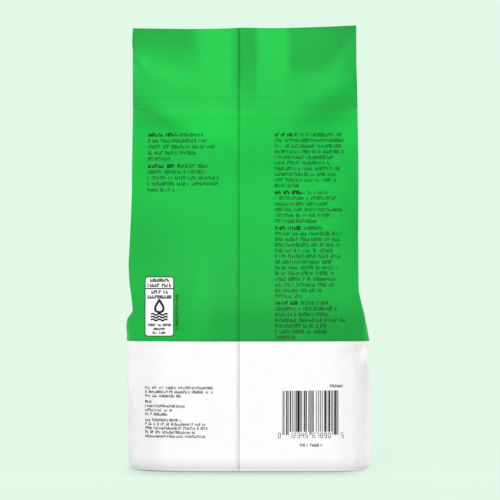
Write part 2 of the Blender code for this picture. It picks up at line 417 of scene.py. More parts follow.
def gable_relief(x, height):
    """Below each gable line the panel turns back by a drop times s e^(1 - s), s being the share of the reach.

    The distance below the line is rounded off at the line, as k ln(1 + e^(d / k)).
    """
    relief = 0.0 * x * height
    for centre_x, centre_height, slope in GABLES:
        turned = math.radians(slope)
        below = (x - centre_x) * math.sin(turned) - (height - centre_height) * math.cos(turned)
        rounded = GABLE_SOFTNESS * np.log1p(np.exp(np.clip(below / GABLE_SOFTNESS, -40, 40)))
        share = rounded / GABLE_REACH
        near = ease(math.copysign(1, centre_x) * x, *GABLE_START)
        relief = relief - GABLE_DROP * near * share * np.exp(1 - share)
    return relief


def waves(a, b, seed, count, shortest, longest):
    """Soft waves about 1 high: the sum of count cosines with seeded directions, lengths and phases."""
    draw = np.random.default_rng(seed)
    turn = draw.uniform(0, math.pi, count)
    number = 2 * math.pi / draw.uniform(shortest, longest, count)
    phase = draw.uniform(0, 2 * math.pi, count)
    total = 0.0
    for i in range(count):
        total = total + np.cos(number[i] * (a * math.cos(turn[i]) + b * math.sin(turn[i])) + phase[i])
    return total / math.sqrt(count / 2)


# Swellings of the back panel: x, height, length, breadth, turn in degrees, rise
BACK_FOLDS = (
    (-0.0430, 0.2220, 0.0220, 0.0050, -18, 0.0003),
    (0.0460, 0.2120, 0.0200, 0.0046, 23, 0.0009),
    (-0.0160, 0.1900, 0.0260, 0.0120, 10, 0.0005),
    (-0.0260, 0.0990, 0.0140, 0.0080, 70, 0.0005),
    (-0.0190, 0.0960, 0.0200, 0.0014, 84, -0.0002),
    (0.0000, 0.0680, 0.0400, 0.0120, 0, -0.0007),
    (-0.0560, 0.0845, 0.0110, 0.0022, 28, -0.0004),
    (-0.0590, 0.0780, 0.0060, 0.0030, 80, 0.0005),
    (0.0560, 0.0880, 0.0180, 0.0040, -64, -0.0006),
    (0.0480, 0.0820, 0.0120, 0.0060, -50, 0.0005),
    (0.0620, 0.0585, 0.0080, 0.0018, 78, -0.0006),
)

# Creases of the back panel, in the same order, each with its drop
BACK_CREASES = (
    (0.0380, 0.1090, 0.0160, 0.0060, 62, 0.00022),
    (0.0080, 0.0990, 0.0240, 0.0080, 88, 0.00012),
    (-0.0560, 0.0800, 0.0070, 0.0020, -70, 0.00020),
    (-0.0467, 0.1961, 0.0115, 0.0026, -33, 0.00022),
)

# Painted shade bands: dark creases, dark lines along the flat top's edges and top rim, and shade at the white
# film's right dent, in the same order, each with its depth
PAINTED_SHADE_BANDS = (
    (-0.0467, 0.1961, 0.0150, 0.0032, -33, 0.34),
    (0.0480, 0.2030, 0.0230, 0.0075, 23, 0.38),
    (-0.0596, 0.2268, 0.0075, 0.0011, -55, 0.28),
    (-0.0632, 0.2360, 0.0080, 0.0010, 90, 0.30),
    (-0.0634, 0.2080, 0.0260, 0.0007, 90, 0.22),
    (0.0634, 0.2120, 0.0320, 0.0008, 90, 0.28),
    (0.0600, 0.2486, 0.0340, 0.0010, 0, 0.30),
    (0.0590, 0.0682, 0.0080, 0.0032, 12, 0.12),
    (0.0630, 0.0625, 0.0070, 0.0012, 80, 0.12),
)

# Broad soft painted shades on the green film, and painted highlights where the depth is below 0, in the same
# order, each with its depth
GREEN_PAINTED_SHADES_AND_HIGHLIGHTS = (
    (0.0000, 0.2090, 0.2000, 0.0085, 0, 0.058),
    (0.0000, 0.1725, 0.2000, 0.0130, 0, 0.125),
    (-0.0650, 0.2110, 0.0150, 0.0130, 0, 0.16),
    (-0.0650, 0.1330, 0.0200, 0.0260, 0, 0.08),
    (0.0660, 0.2300, 0.0170, 0.0160, 0, 0.28),
    (0.0640, 0.2030, 0.0220, 0.0120, 0, 0.10),
    (0.0660, 0.1400, 0.0140, 0.0280, 0, 0.17),
    (0.0660, 0.0820, 0.0250, 0.0200, 0, 0.10),
    (-0.0500, 0.1950, 0.0150, 0.0065, -36, 0.14),
    (0.0420, 0.1940, 0.0190, 0.0085, 40, 0.11),
    (0.0300, 0.2190, 0.0090, 0.0120, 0, 0.10),
    (-0.0180, 0.1920, 0.0160, 0.0120, 0, -0.11),
    (-0.0240, 0.0980, 0.0200, 0.0060, 86, -0.07),
    (0.0000, 0.0721, 0.2000, 0.0011, 0, 0.17),
    (0.0100, 0.0820, 0.0420, 0.0140, 0, 0.07),
    (0.0500, 0.0760, 0.0250, 0.0080, 0, 0.05),
    (-0.0585, 0.0880, 0.0060, 0.0090, 0, 0.07),
    (-0.0620, 0.2400, 0.0060, 0.0090, 0, 0.05),
    (-0.0272, 0.2350, 0.0014, 0.0140, 0, 0.05),
    (0.0080, 0.2300, 0.0022, 0.0170, 0, 0.05),
    (-0.0590, 0.1900, 0.0070, 0.0110, 0, 0.04),
    (0.0590, 0.1500, 0.0070, 0.0180, 0, 0.04),
    (0.0672, 0.0765, 0.0014, 0.0060, 0, -0.22),
    (-0.0640, 0.2360, 0.0045, 0.0060, 0, 0.10),
    (0.0600, 0.2480, 0.0160, 0.0030, 0, 0.09),
    (0.0625, 0.2215, 0.0050, 0.0050, 0, 0.09),
    (-0.0600, 0.1950, 0.0080, 0.0080, 0, 0.06),
    (-0.0290, 0.2330, 0.0045, 0.0150, 0, 0.04),
    (0.0135, 0.2270, 0.0045, 0.0100, 0, 0.05),
    (0.0385, 0.2225, 0.0090, 0.0060, 0, 0.04),
    (0.0150, 0.2030, 0.0250, 0.0040, 0, 0.05),
    (0.0590, 0.2400, 0.0060, 0.0110, 0, 0.05),
    (-0.0360, 0.0830, 0.0090, 0.0130, 0, 0.05),
    (-0.0500, 0.1350, 0.0140, 0.0250, 0, 0.04),
)

# Swellings and creases of the front panel, which faces away from the camera
FRONT_FOLDS = (
    (-0.0440, 0.2140, 0.0200, 0.0080, 18, 0.0009),
    (0.0420, 0.1940, 0.0170, 0.0035, 40, -0.0010),
    (-0.0430, 0.1930, 0.0200, 0.0045, -40, -0.0011),
    (0.0100, 0.1880, 0.0260, 0.0110, -6, 0.0008),
    (0.0560, 0.0860, 0.0120, 0.0026, -30, -0.0009),
    (-0.0570, 0.0900, 0.0120, 0.0026, 34, -0.0008),
    (0.0180, 0.1020, 0.0180, 0.0100, 60, 0.0006),
    (-0.0220, 0.0520, 0.0240, 0.0100, 15, 0.0005),
)
FRONT_CREASES = (
    (-0.0430, 0.1940, 0.0150, 0.0038, -38, 0.00034),
    (0.0450, 0.1960, 0.0130, 0.0032, 30, 0.00034),
    (0.0150, 0.1020, 0.0200, 0.0070, 74, 0.00018),
)


def rib_rise(height, size):
    """The press-to-close strip lifts the film in three narrow ribs with sloping sides."""
    rise = 0.0 * height
    for drop in STRIP_RIBS:
        away = np.abs(height - (size.top_height - size.strip_drop - drop))
        slope = ease(away, size.rib_width / 2, size.rib_width * RIB_FOOT)
        rise = np.maximum(rise, size.rib_rise * (1 - slope))
    return rise


def before_seal(x, size):
    """1 just before the lap seal's free edge, and less to the left by a bell: there the film dips."""
    away = size.seal_place - x
    return np.where(away >= 0, np.exp(-((away / SEAL_DIP_REACH) ** 2)), 0.0)


def lap_seal(x, height, size):
    """The lapped film: a dip, a step up at its free edge, a low crown, and an even fall to its end."""
    edge = size.seal_place
    step = ease_by(x, edge, SEAL_STEP)
    fall = 1 - SEAL_FALL * ease(x, edge + SEAL_FALL_START * size.seal_width, edge + size.seal_width)
    crown = np.exp(-(((x - edge - SEAL_CROWN_PLACE) / SEAL_CROWN_SPREAD) ** 2))
    dip = SEAL_DIP * before_seal(x, size)
    relief = size.seal_rise * (step * fall + SEAL_CROWN_SHARE * step * crown) - dip
    return relief * ease(height, 0.0, SEAL_FOOT)


def panel_relief(x, height, face, size):
    """All that stands out of a panel's plain bow: seal, ribs, gusset edges, folds and soft waves."""
    flat = ease_by(height, flat_height(size), FLAT_TOP_SPAN)
    body = 1 - ease_by(height, size.shoulder_height, BODY_SPAN)
    edge = 1 - np.clip(np.abs(x) / (size.panel_width / 2), 0, 1) ** EDGE_POWER
    relief = rib_rise(height, size)
    folds, creases = (BACK_FOLDS, BACK_CREASES) if face < 0 else (FRONT_FOLDS, FRONT_CREASES)
    for values in folds:
        relief = relief + fold(x, height, *values)
    for values in creases:
        relief = relief + crease(x, height, *values)
    relief = relief + gusset_step(x, height, size) + gable_relief(x, height)
    seed = size.wave_seed + (0 if face < 0 else FRONT_SEED)
    soft = waves(x, height, seed, *PANEL_WAVES) * (1 - FLAT_TOP_CALM * flat)
    fine = waves(x, height, seed + 1, *PANEL_FINE_WAVES) * body
    shown = ease(height, 0.0, WAVE_FOOT)
    relief = relief + size.wave_rise * edge * (soft + PANEL_FINE_SHARE * fine) * shown
    if face < 0:
        relief = relief + lap_seal(x, height, size)
    return relief


def gusset_tip(size):
    """How far from the middle the folded gussets' middle folds lie in the flat top."""
    return size.panel_width / 2 - size.gusset_width / 2


def over_gusset(x, size):
    """1 where the folded gusset lies under the panel of the flat top, and 0 between the gussets."""
    return ease_by(np.abs(x), gusset_tip(size), GUSSET_TIP_SPAN)


def gusset_bounds(x, size):
    """Where the folded gussets start to open: a height, and the share of the way out from their middle fold.

    At the left the height climbs with the cube of that share, and at the right by a smooth climb.
    """
    outwards = (np.abs(x) - size.panel_width / 2 + size.gusset_width / 2) / (size.gusset_width / 2)
    cube = np.clip(outwards, 0, LEFT_OPENING_MOST) ** 3
    left = size.top_height - LEFT_OPENING + LEFT_OPENING_CLIMB * cube
    right = size.top_height - RIGHT_OPENING + RIGHT_OPENING_CLIMB * ease(outwards, *RIGHT_OPENING_SPAN)
    return np.where(x < 0, left, right), outwards


def gusset_step(x, height, size):
    """The panel stands out a little under those bounds, as the gussets open, and comes back at the strip."""
    bound, outwards = gusset_bounds(x, size)
    below = 1 - ease_by(height, bound, OPENING_SPAN)
    strip = size.top_height - size.strip_drop
    rise = OPENING_RISE * ease(outwards, *OPENING_SPREAD)
    end = strip + np.where(x < 0, LEFT_STRIP_RETURN, RIGHT_STRIP_RETURN)
    return rise * below * ease(height, strip - STRIP_RETURN_START, end)


def panel_surface(across, height, face, size):
    """A panel. x is across times the half width, y is the half depth, the bow and the relief.

    across runs from -1 to 1 between the folded edges, and face is -1 for the back, 1 for the front.
    """
    side = np.where(across < 0, -1, 1)
    pull = corner_pull(across, 1.0, height, side, size)
    spread = across * half_width(height, side, size) * pull
    x = body_shift(height, size) * across * across + spread
    thinning = (1 - over_gusset(spread, size)) * ease(wedge_share(height, size), THINNING_START, 1)
    depth = half_depth(height, size) - thinning * (layered_half_depth(size) - size.film_ply)
    bow = panel_bow(height, size.back_bow if face < 0 else size.front_bow, size)
    out = depth * pull + bow * (1 - np.abs(across) ** PANEL_BOW_POWER)
    out = out + panel_relief(x, height, face, size)
    return x, face * out, raised(x, height, face * out, size)


def corner_lift(x, y, height):
    """The left back corner stands a little off the floor, fading to the right, forwards and upwards."""
    lift = CORNER_LIFT * ease(-x, *CORNER_LIFT_LEFT) * ease(-y, 0.0, CORNER_LIFT_BACK)
    return lift * (1 - ease(height, 0.0, CORNER_LIFT_TOP))


def top_slope(x, height, size):
    """The flat top's rows follow its edge more and more upwards: straight lines between the edge's places."""
    share = climb(height, size.top_height - size.strip_drop, size.top_height)
    return share * np.interp(x / (size.panel_width / 2), TOP_SHARES, TOP_RISES)


def raised(x, height, y, size):
    """A height on the film, with the slope of the top edge and the lift of the left back corner."""
    return height + top_slope(x, height, size) + corner_lift(x, y, height)


def gusset_surface(along, height, side, face, size):
    """One leg of a gusset. x is the panel's edge and the salt's bow, less the tuck; y opens with the wedge.

    along runs from 0 at the middle fold to 1 at the edge of the panel that the leg meets.
    """
    pull = corner_pull(1.0, along, height, side, size)
    opening = np.maximum(half_depth(height, size) - 2 * size.film_ply - size.gusset_slot / 2, 0.0)
    y = face * (size.gusset_slot / 2 + along * opening) * pull
    out = half_width(height, side, size) * pull
    out = out + gusset_bow(height, side, size) * (1 - along * along)
    out = out - gusset_tuck(height, size) * (1 - along)
    loose = ease(opening, *GUSSET_LOOSE) * (1 - along**EDGE_POWER) * ease(height, 0.0, WAVE_FOOT)
    seed = size.wave_seed + (LEFT_GUSSET_SEED if side < 0 else RIGHT_GUSSET_SEED)
    soft = waves(y, height, seed, *GUSSET_WAVES)
    soft = soft + GUSSET_FINE_SHARE * waves(y, height, seed + 1, *GUSSET_FINE_WAVES)
    out = out + size.wave_rise * GUSSET_WAVE_SHARE * loose * soft
    x = body_shift(height, size) + side * out
    return x, y, raised(x, height, y, size)


def stacked(xyz):
    """x, y and z of one shape as the last axis of one array."""
    return np.stack(np.broadcast_arrays(*xyz), axis=-1)


def back_columns(size):
    """Places across the back panel: even, with more at the seal's edge and at the gussets' edges."""
    half = size.panel_width / 2
    even = np.linspace(-1, 1, BACK_COLUMNS + 1)
    seal = (size.seal_place + np.array(SEAL_COLUMNS) * 0.0001) / half
    tip = (gusset_tip(size) - np.array(TIP_COLUMNS)) / half
    kept = even[np.min(np.abs(even[:, None] - seal[None, :]), axis=1) > COLUMN_GAP]
    kept = kept[np.min(np.abs(np.abs(kept)[:, None] - tip[None, :]), axis=1) > COLUMN_GAP]
    return np.sort(np.concatenate([kept, seal, tip, -tip]))


def film_heights(size):
    """Heights of the film's rows: even, with more at the ribs and one exactly at the print's border."""
    even = np.linspace(size.base_round, size.top_height, BODY_ROWS + 1)
    near = np.array(RIB_ROWS) * size.rib_width
    extra = [size.top_height - size.strip_drop - drop + near for drop in STRIP_RIBS]
    extra = np.concatenate(extra + [size.border_height + np.array(BORDER_ROWS)])
    apart = np.min(np.abs(even[:, None] - extra[None, :]), axis=1) > ROW_GAP
    apart[[0, -1]] = True
    return np.unique(np.round(np.concatenate([even[apart], extra]), 6))


def film_loops(size):
    """The film's rings of points, one row for each height: back, right gusset, front, left gusset.

    The second result is how many columns each part of a ring has.
    """
    height = film_heights(size)[:, None]
    back = back_columns(size)[None, :]
    front = np.linspace(1, -1, FRONT_COLUMNS + 1)[None, :]
    outwards = np.linspace(0, 1, LEG_COLUMNS + 1)[None, :]
    inwards = outwards[:, ::-1]
    parts = [
        panel_surface(back, height, -1, size),
        gusset_surface(inwards, height, 1, -1, size),
        gusset_surface(outwards, height, 1, 1, size),
        panel_surface(front, height, 1, size),
        gusset_surface(inwards, height, -1, 1, size),
        gusset_surface(outwards, height, -1, -1, size),
    ]
    counts = [part[0].shape[1] for part in parts]
    return np.concatenate([stacked(part) for part in parts], axis=1), counts


def softened(loops, counts, size):
    """Rounds the four long folds where the pouch is full: points near them move to their neighbours' middle.

    How much a point moves falls off from the fold as a bell over a few columns.
    """
    columns = loops.shape[1]
    starts = np.cumsum([0] + counts)
    folds = [starts[1], starts[3], starts[4], 0]
    index = np.arange(columns)
    near = np.zeros(columns)
    for at in folds:
        away = np.minimum(np.abs(index - at + 0.5), columns - np.abs(index - at + 0.5))
        near = np.maximum(near, np.exp(-((away / FOLD_COLUMNS) ** 2)))
    height = film_heights(size)
    full = 1 - ease(height, size.shoulder_height, flat_height(size) - FOLD_END)
    share = FOLD_SHARE * near[None, :, None] * full[:, None, None]
    for _ in range(size.fold_softness):
        middle = (np.roll(loops, 1, axis=1) + np.roll(loops, -1, axis=1)) / 2
        loops = loops + share * (middle - loops)
    return loops


def base_rows(first, size):
    """Rows under the body's lowest ring: a quarter turn inwards, then rings that shrink to the middle.

    The flat part stands on the folded seal, with soft waves and a bell across a V-shaped fold at each side.
    """
    centre = np.array([BODY_SHIFT, 0.0])
    reach = np.abs(first[:, :2] - centre).max(axis=0)
    inner = centre + (first[:, :2] - centre) * (1 - size.base_round / reach)
    turn = np.linspace(0, math.pi / 2, BASE_TURN_ROWS + 1)[:-1, None]
    plan = inner[None] + (first[None, :, :2] - inner[None]) * np.sin(turn)[:, :, None]
    rise = size.base_round * (1 - np.cos(turn)) + BASE_GAP * np.cos(turn)
    rise = rise + corner_lift(plan[..., 0], plan[..., 1], rise)
    shrink = np.linspace(BASE_INNER_SHARE, 1, BASE_FLAT_ROWS)[:-1, None]
    flat = centre + (inner[None] - centre) * shrink[:, :, None]
    x, y = flat[..., 0], flat[..., 1]
    inside = 1 - shrink**RIM_POWER
    ripple = waves(x, y, size.wave_seed + BASE_SEED, *BASE_WAVES)
    folded = np.exp(-(((np.abs(x) - BASE_FOLD_PLACE - np.abs(y)) / BASE_FOLD_SPREAD) ** 2))
    stands = size.seal_thickness + BASE_WAVE_RISE * (1 + 0.5 * ripple) + BASE_FOLD_RISE * folded
    level = BASE_GAP + inside * stands + corner_lift(x, y, 0.0)
    flat_rows = np.concatenate([flat, level[:, :, None]], axis=2)
    turn_rows = np.concatenate([plan, rise[:, :, None]], axis=2)
    return np.concatenate([flat_rows, turn_rows], axis=0)


def ring_faces(rows, columns):
    """Quads of a grid of closed rings: each joins two rings and two neighbours."""
    low = np.arange(rows - 1)[:, None] * columns
    i = np.arange(columns)[None, :]
    j = (i + 1) % columns
    faces = np.stack([low + i, low + j, low + columns + j, low + columns + i], axis=-1)
    return faces.reshape(-1, 4)


def ply_and_painted_shade(x, height, size):
    """How much deeper the colour is, for the film behind it and for painted shade.

    It is the sum of the folded gussets and the lap seal in the flat top, the painted shade bands, and the
    thin painted shadow before the seal's free edge, all the way down. It stays between 0 and 1.
    """
    tip = gusset_tip(size)
    bound = gusset_bounds(x, size)[0]
    upwards = 1 - (1 - climb(height, bound, size.top_height)) ** LEFT_PLY_POWER
    left = ease_by(-x, tip, LEFT_PLY_SPAN) * upwards
    right = ease_by(x, tip, RIGHT_PLY_SPAN) * ease_by(height, bound, RIGHT_PLY_BOUND)
    folded = LEFT_PLY_SHARE * left + RIGHT_PLY_SHARE * right
    edge = size.seal_place
    lap = sum(depth * ease(x, edge + start, edge + end) for start, end, depth in LAP_PLIES)
    lap = lap * (1 - ease_by(x, edge + size.seal_width, LAP_END_SPAN))
    lap = lap * ease_by(height, size.top_height, LAP_TOP_SPAN)
    # A painted shadow along the seal's free edge, all the way down
    line = before_seal(x, size) * ease(height, 0.0, SEAL_PAINTED_SHADOW_FOOT)
    bands = 0.0 * x * height
    for values in PAINTED_SHADE_BANDS:
        bands = bands + fold(x, height, *values)
    return np.clip(folded + lap + bands + SEAL_PAINTED_SHADOW_SHARE * line, 0.0, 1.0)


def green_painted_light(x, height):
    """Painted light on the green film: lighter up the body, less broad painted shades and painted highlights,
    and a painted shade by the border.
    """
    painted_green_light = LOW_PAINTED_LIGHT + PAINTED_LIGHT_GAIN * ease(height, *PAINTED_LIGHT_CLIMB) + 0.0 * x
    for values in GREEN_PAINTED_SHADES_AND_HIGHLIGHTS:
        painted_green_light = painted_green_light - fold(x, height, *values)
    by_border = 1 - ease(height, *PAINTED_BORDER_SHADE_END)
    return painted_green_light * (1 - PAINTED_BORDER_SHADE * ease(x, *PAINTED_BORDER_SHADE_SPAN) * by_border)


def white_painted_light(x, y, height):
    """Painted light on the white film: 1, less painted shade in smooth climbs at the sides and at the foot of
    the back panel.

    Painted highlights at the right side's dent, at the side rims and along the very foot make it lighter. No
    value passes WHITE_MOST.
    """
    lower = 1 - ease(height, *WHITE_LOWER)
    left = (WHITE_LEFT_DEPTH + WHITE_LEFT_GAIN * lower) * ease(-x, *WHITE_LEFT_SPAN)
    left = left - (WHITE_LEFT_RETURN - WHITE_LEFT_LOSS * lower) * ease(-x, *WHITE_LEFT_EDGE)
    right = sum(depth * ease(x, start, end) for start, end, depth in WHITE_RIGHT_SHADES)
    right = right - fold(x, height, *WHITE_DENT_HIGHLIGHT)
    base = sum(depth * (1 - ease(height, start, end)) for start, end, depth in WHITE_BASE_SHADES)
    corners = 1 - WHITE_CORNER_LOSS * ease(np.abs(x), *WHITE_BASE_CORNERS)
    base = base * ease(-y, 0.0, WHITE_BASE_BACK) * corners
    return np.minimum(1 - left - right - base, WHITE_MOST)


def mesh_object(name, points, faces, material=None):
    """A new mesh object at the origin, linked to the scene."""
    mesh = bpy.data.meshes.new(name)
    mesh.from_pydata(np.asarray(points, float).reshape(-1, 3).tolist(), [], faces)
    mesh.update()
    if material is not None:
        mesh.materials.append(material)
    made = bpy.data.objects.new(name, mesh)
    bpy.context.scene.collection.objects.link(made)
    return made


def top_faces(ring, first):
    """Triangles that close the thin outline of the top edge, facing up."""
    outline = [Vector(point) for point in ring.tolist()]
    faces = np.array(tessellate_polygon([outline]))
    plan = ring[faces][:, :, :2]
    one, two = plan[:, 1] - plan[:, 0], plan[:, 2] - plan[:, 0]
    down = one[:, 0] * two[:, 1] - one[:, 1] * two[:, 0] < 0
    faces[down] = faces[down][:, ::-1]
    return (faces + first).tolist()


def film_piece(size, look):
    """The whole film as one closed skin, green above the print's border and white below it."""
    loops, counts = film_loops(size)
    loops = softened(loops, counts, size)
    below = base_rows(loops[0], size)
    rings = np.concatenate([below, loops], axis=0)
    rows, columns = rings.shape[:2]
    walls = ring_faces(rows, columns)
    faces = walls.tolist()
    faces.append(list(range(columns))[::-1])
    faces += top_faces(rings[-1], (rows - 1) * columns)
    film = mesh_object("pouch_film", rings, faces)
    mesh = film.data
    mesh.materials.append(film_material("green_film", look.green, look, "green_painted_light"))
    mesh.materials.append(film_material("white_film", look.white, look, "white_painted_light"))
    heights = np.concatenate([below[..., 2].mean(axis=1), film_heights(size)])
    low_row = np.repeat(np.arange(rows - 1), columns)
    slots = np.zeros(len(faces), np.int32)
    slots[: len(walls)] = heights[low_row] < size.border_height - 1e-6
    slots[len(walls)] = 1
    mesh.polygons.foreach_set("material_index", slots)
    panels = np.zeros(columns, bool)
    starts = np.cumsum([0] + counts)
    panels[starts[0] : starts[1]] = True
    # Besides the plies' deeper colour, these attributes hold painted shade and painted highlights
    shade = ply_and_painted_shade(rings[..., 0], heights[:, None], size) * panels[None, :]
    painted_green_light = green_painted_light(rings[..., 0], heights[:, None])
    painted_white_light = white_painted_light(rings[..., 0], rings[..., 1], rings[..., 2])
    for name, values in (("ply_and_painted_shade", shade), ("green_painted_light", painted_green_light), ("white_painted_light", painted_white_light)):
        layer = mesh.attributes.new(name, "FLOAT", "POINT")
        layer.data.foreach_set("value", values.reshape(-1).astype(np.float32))
    mesh.polygons.foreach_set("use_smooth", np.ones(len(faces), bool))
    mesh.set_sharp_from_angle(angle=math.radians(look.sharp_angle))
    mesh.update()
    return film


# How the print follows the film: rounds that find a place across, and the step that gives the normal
ACROSS_ROUNDS = 6
NORMAL_STEP = 0.0002


def film_points(x, height, proud, size):
    """Points on the back panel at x and a height, moved out along the film's normal by proud.

    The place across is found from x in a few rounds, because the corners' pull depends on it. The normal is
    the cross product of a small step sideways and a small step up.
    """
    x, height = np.broadcast_arrays(x, height)

    def surface(right, up):
        side = np.where(right < 0, -1, 1)
        across = right / half_width(up, side, size)
        for _ in range(ACROSS_ROUNDS):
            pull = corner_pull(across, 1.0, up, side, size)
            settled = right - body_shift(up, size) * across * across
            across = settled / (half_width(up, side, size) * pull)
        return stacked(panel_surface(across, up, -1, size))

    middle = surface(x, height)
    sideways = surface(x + NORMAL_STEP, height) - middle
    normal = np.cross(sideways, surface(x, height + NORMAL_STEP) - middle)
    normal = normal / np.linalg.norm(normal, axis=-1, keepdims=True)
    return middle + proud * normal


def plate_faces(rows, columns):
    """Quads of one closed thin plate: an outer grid, the same grid sunk into the film, and its rim."""
    count = (rows + 1) * (columns + 1)
    at = np.arange(count).reshape(rows + 1, columns + 1)
    outer = np.stack([at[:-1, :-1], at[:-1, 1:], at[1:, 1:], at[1:, :-1]], axis=-1).reshape(-1, 4)
    rim = np.concatenate([at[0, :-1], at[:-1, -1], at[-1, :0:-1], at[:0:-1, 0]])
    following = np.roll(rim, -1)
    side = np.stack([rim, rim + count, following + count, following], axis=-1)
    return np.concatenate([outer, outer[:, ::-1] + count, side])


def printed(name, grids, material, size, proud):
    """Thin closed plates of ink on the back panel, in one mesh.

    Each of grids is x and height, plates by rows by columns.
    """
    points, faces, first = [], [], 0
    for x, height in grids:
        x, height = np.broadcast_arrays(x, height)
        plates, rows, columns = x.shape
        outer = film_points(x, height, proud, size).reshape(plates, -1, 3)
        inner = film_points(x, height, -size.ink_sunk, size).reshape(plates, -1, 3)
        both = np.concatenate([outer, inner], axis=1)
        one = plate_faces(rows - 1, columns - 1)
        starts = first + np.arange(plates)[:, None, None] * both.shape[1]
        faces += (one[None] + starts).reshape(-1, 4).tolist()
        points.append(both.reshape(-1, 3))
        first += both.shape[0] * both.shape[1]
    return mesh_object(name, np.concatenate(points), faces, material)


def bars_grid(boxes, rows=1, columns=1):
    """Rectangles, each a left, a right, a low and a high place, as one grid of plates."""
    boxes = np.asarray(boxes, float)
    across = np.linspace(0, 1, columns + 1)[None, None, :]
    up = np.linspace(0, 1, rows + 1)[None, :, None]
    x = boxes[:, 0, None, None] + (boxes[:, 1] - boxes[:, 0])[:, None, None] * across
    height = boxes[:, 2, None, None] + (boxes[:, 3] - boxes[:, 2])[:, None, None] * up
    return np.broadcast_arrays(x, height)


# Filler print: the chances that a cell's second block is missing, short, raised or full, the chance of a gap,
# the share of the height that a low cell has, where the second block starts, and how heavy a heading is
SECOND_BLOCK_CHANCES = (0.16, 0.26, 0.26, 0.32)
GAP_CHANCE = 0.15
LOW_CELL = 0.76
SECOND_BLOCK_PLACE = 0.48
HEAVY_WEIGHT = 1.7


def filler_line(draw, left, length, low, tall, pitch, weight, capitals=0.6):
    """One line of filler print: rows of small blocks in groups, which say nothing.

    Each cell has an upright block, and a second one that is missing, short, raised or full, by lot. No two
    cells side by side are left out. weight is a block's width as a share of the pitch, and capitals is the
    share of cells of full height.
    """
    cells = max(1, int(length / pitch + 0.5))
    kind = draw.choice(len(SECOND_BLOCK_CHANCES), cells, p=SECOND_BLOCK_CHANCES)
    gap = draw.random(cells) < GAP_CHANCE
    gap[1:] &= ~gap[:-1]
    gap[[0, -1]] = False
    shown = ~gap
    top = low + tall * np.where(draw.random(cells) < capitals, 1.0, LOW_CELL)
    start = left + np.arange(cells) * pitch
    wide = pitch * weight
    middle = (low + top) / 2
    second = start + pitch * SECOND_BLOCK_PLACE
    foot = np.where(kind == 2, middle, low)
    head = np.where(kind == 1, middle, top)
    first_blocks = np.stack([start, start + wide, low + 0 * top, top], axis=1)[shown]
    second_blocks = np.stack([second, second + wide, foot, head], axis=1)[shown & (kind > 0)]
    return np.concatenate([first_blocks, second_blocks])


def filler_block(draw, left, paragraphs, tall, pitch, weight):
    """Paragraphs of filler print.

    Each has the height of its first line, the step down, the length of its heavier start, and the lengths of
    its lines.
    """
    boxes = []
    for first, step, start_length, lengths in paragraphs:
        for i, length in enumerate(lengths):
            low = first - i * step - tall / 2
            begin = start_length if i == 0 else 0.0
            if begin:
                boxes.append(filler_line(draw, left, begin, low, tall, pitch, weight * HEAVY_WEIGHT))
            if length > begin:
                boxes.append(filler_line(draw, left + begin, length - begin, low, tall, pitch, weight))
    return np.concatenate(boxes)


# Sizes of the small print: the height of its blocks, the pitch of its cells, and its weight
GREEN_STYLE = (0.0022, 0.00118, 0.25)
SIDE_STYLE = (0.0016, 0.00105, 0.30)
WHITE_STYLE = (0.0016, 0.00096, 0.31)
CODE_STYLE = (0.0017, 0.00096, 0.33)

# Seeds of the small print's lots
GREEN_SEED = 5
WHITE_SEED = 6
PANEL_SEED = 8

# Two columns of print on the green film, and one on the white
LEFT_COLUMN = -0.0544
LEFT_PARAGRAPHS = (
    (0.1875, 0.00345, 0.0145, (0.0310, 0.0327, 0.0377, 0.0268, 0.0130)),
    (0.1695, 0.00333, 0.0174, (0.0341, 0.0325, 0.0397, 0.0397, 0.0154)),
)
RIGHT_COLUMN = 0.0167
RIGHT_PARAGRAPHS = (
    (
        0.1875,
        0.00323,
        0.0109,
        (0.0386, 0.0391, 0.0380, 0.0386, 0.0327, 0.0302, 0.0367, 0.0341, 0.0341, 0.0145),
    ),
    (0.1546, 0.00320, 0.0159, (0.0302, 0.0344, 0.0294, 0.0383, 0.0333, 0.0239)),
    (
        0.1347,
        0.00313,
        0.0136,
        (0.0260, 0.0376, 0.0371, 0.0365, 0.0321, 0.0360, 0.0315)
        + (0.0354, 0.0326, 0.0337, 0.0332, 0.0254, 0.0155),
    ),
    (0.0934, 0.00316, 0.0165, (0.0292, 0.0341, 0.0297, 0.0391, 0.0284, 0.0289, 0.0116)),
)
WHITE_COLUMN = -0.0551
WHITE_PARAGRAPHS = (
    (0.0466, 0.00228, 0.0, (0.0372, 0.0375, 0.0200)),
    (0.0388, 0.00230, 0.0035, (0.0035, 0.0222, 0.0154, 0.0126)),
    (0.0287, 0.00225, 0.0, (0.0200, 0.0332, 0.0344, 0.0279, 0.0332)),
)

# Single lines of print: a start, a length and a foot. The first is turned upright, so its start is a height
SIDE_LINE = (0.0785, 0.0196, -0.0382)
ABOVE_CODE_LINE = (0.0468, 0.0075, 0.0467)
BELOW_CODE_LINE = (0.0303, 0.0120, 0.0141)

# The code: plain numbers in bars, with guards. A digit is four widths, spaces and bars by turns. A space
# comes first in the left half, and a bar in the right half
CODE_DIGITS = (0, 1, 2, 3, 4, 5, 6, 7, 8, 9, 0, 5)
END_GUARD = (1, 1, 1)
MIDDLE_GUARD = (1, 1, 1, 1, 1)
DIGIT_WIDTHS = (
    (3, 2, 1, 1),
    (2, 2, 2, 1),
    (2, 1, 2, 2),
    (1, 4, 1, 1),
    (1, 1, 3, 2),
    (1, 2, 3, 1),
    (1, 1, 1, 4),
    (1, 3, 1, 2),
    (1, 2, 1, 3),
    (3, 1, 1, 2),
)
CODE_LEFT = 0.0208
CODE_TOP = 0.0451
CODE_LOW = 0.0223
CODE_GUARD_LOW = 0.0206
CODE_MODULE = 0.0003234
CODE_SPREAD = 0.00003
CODE_ROWS = 14

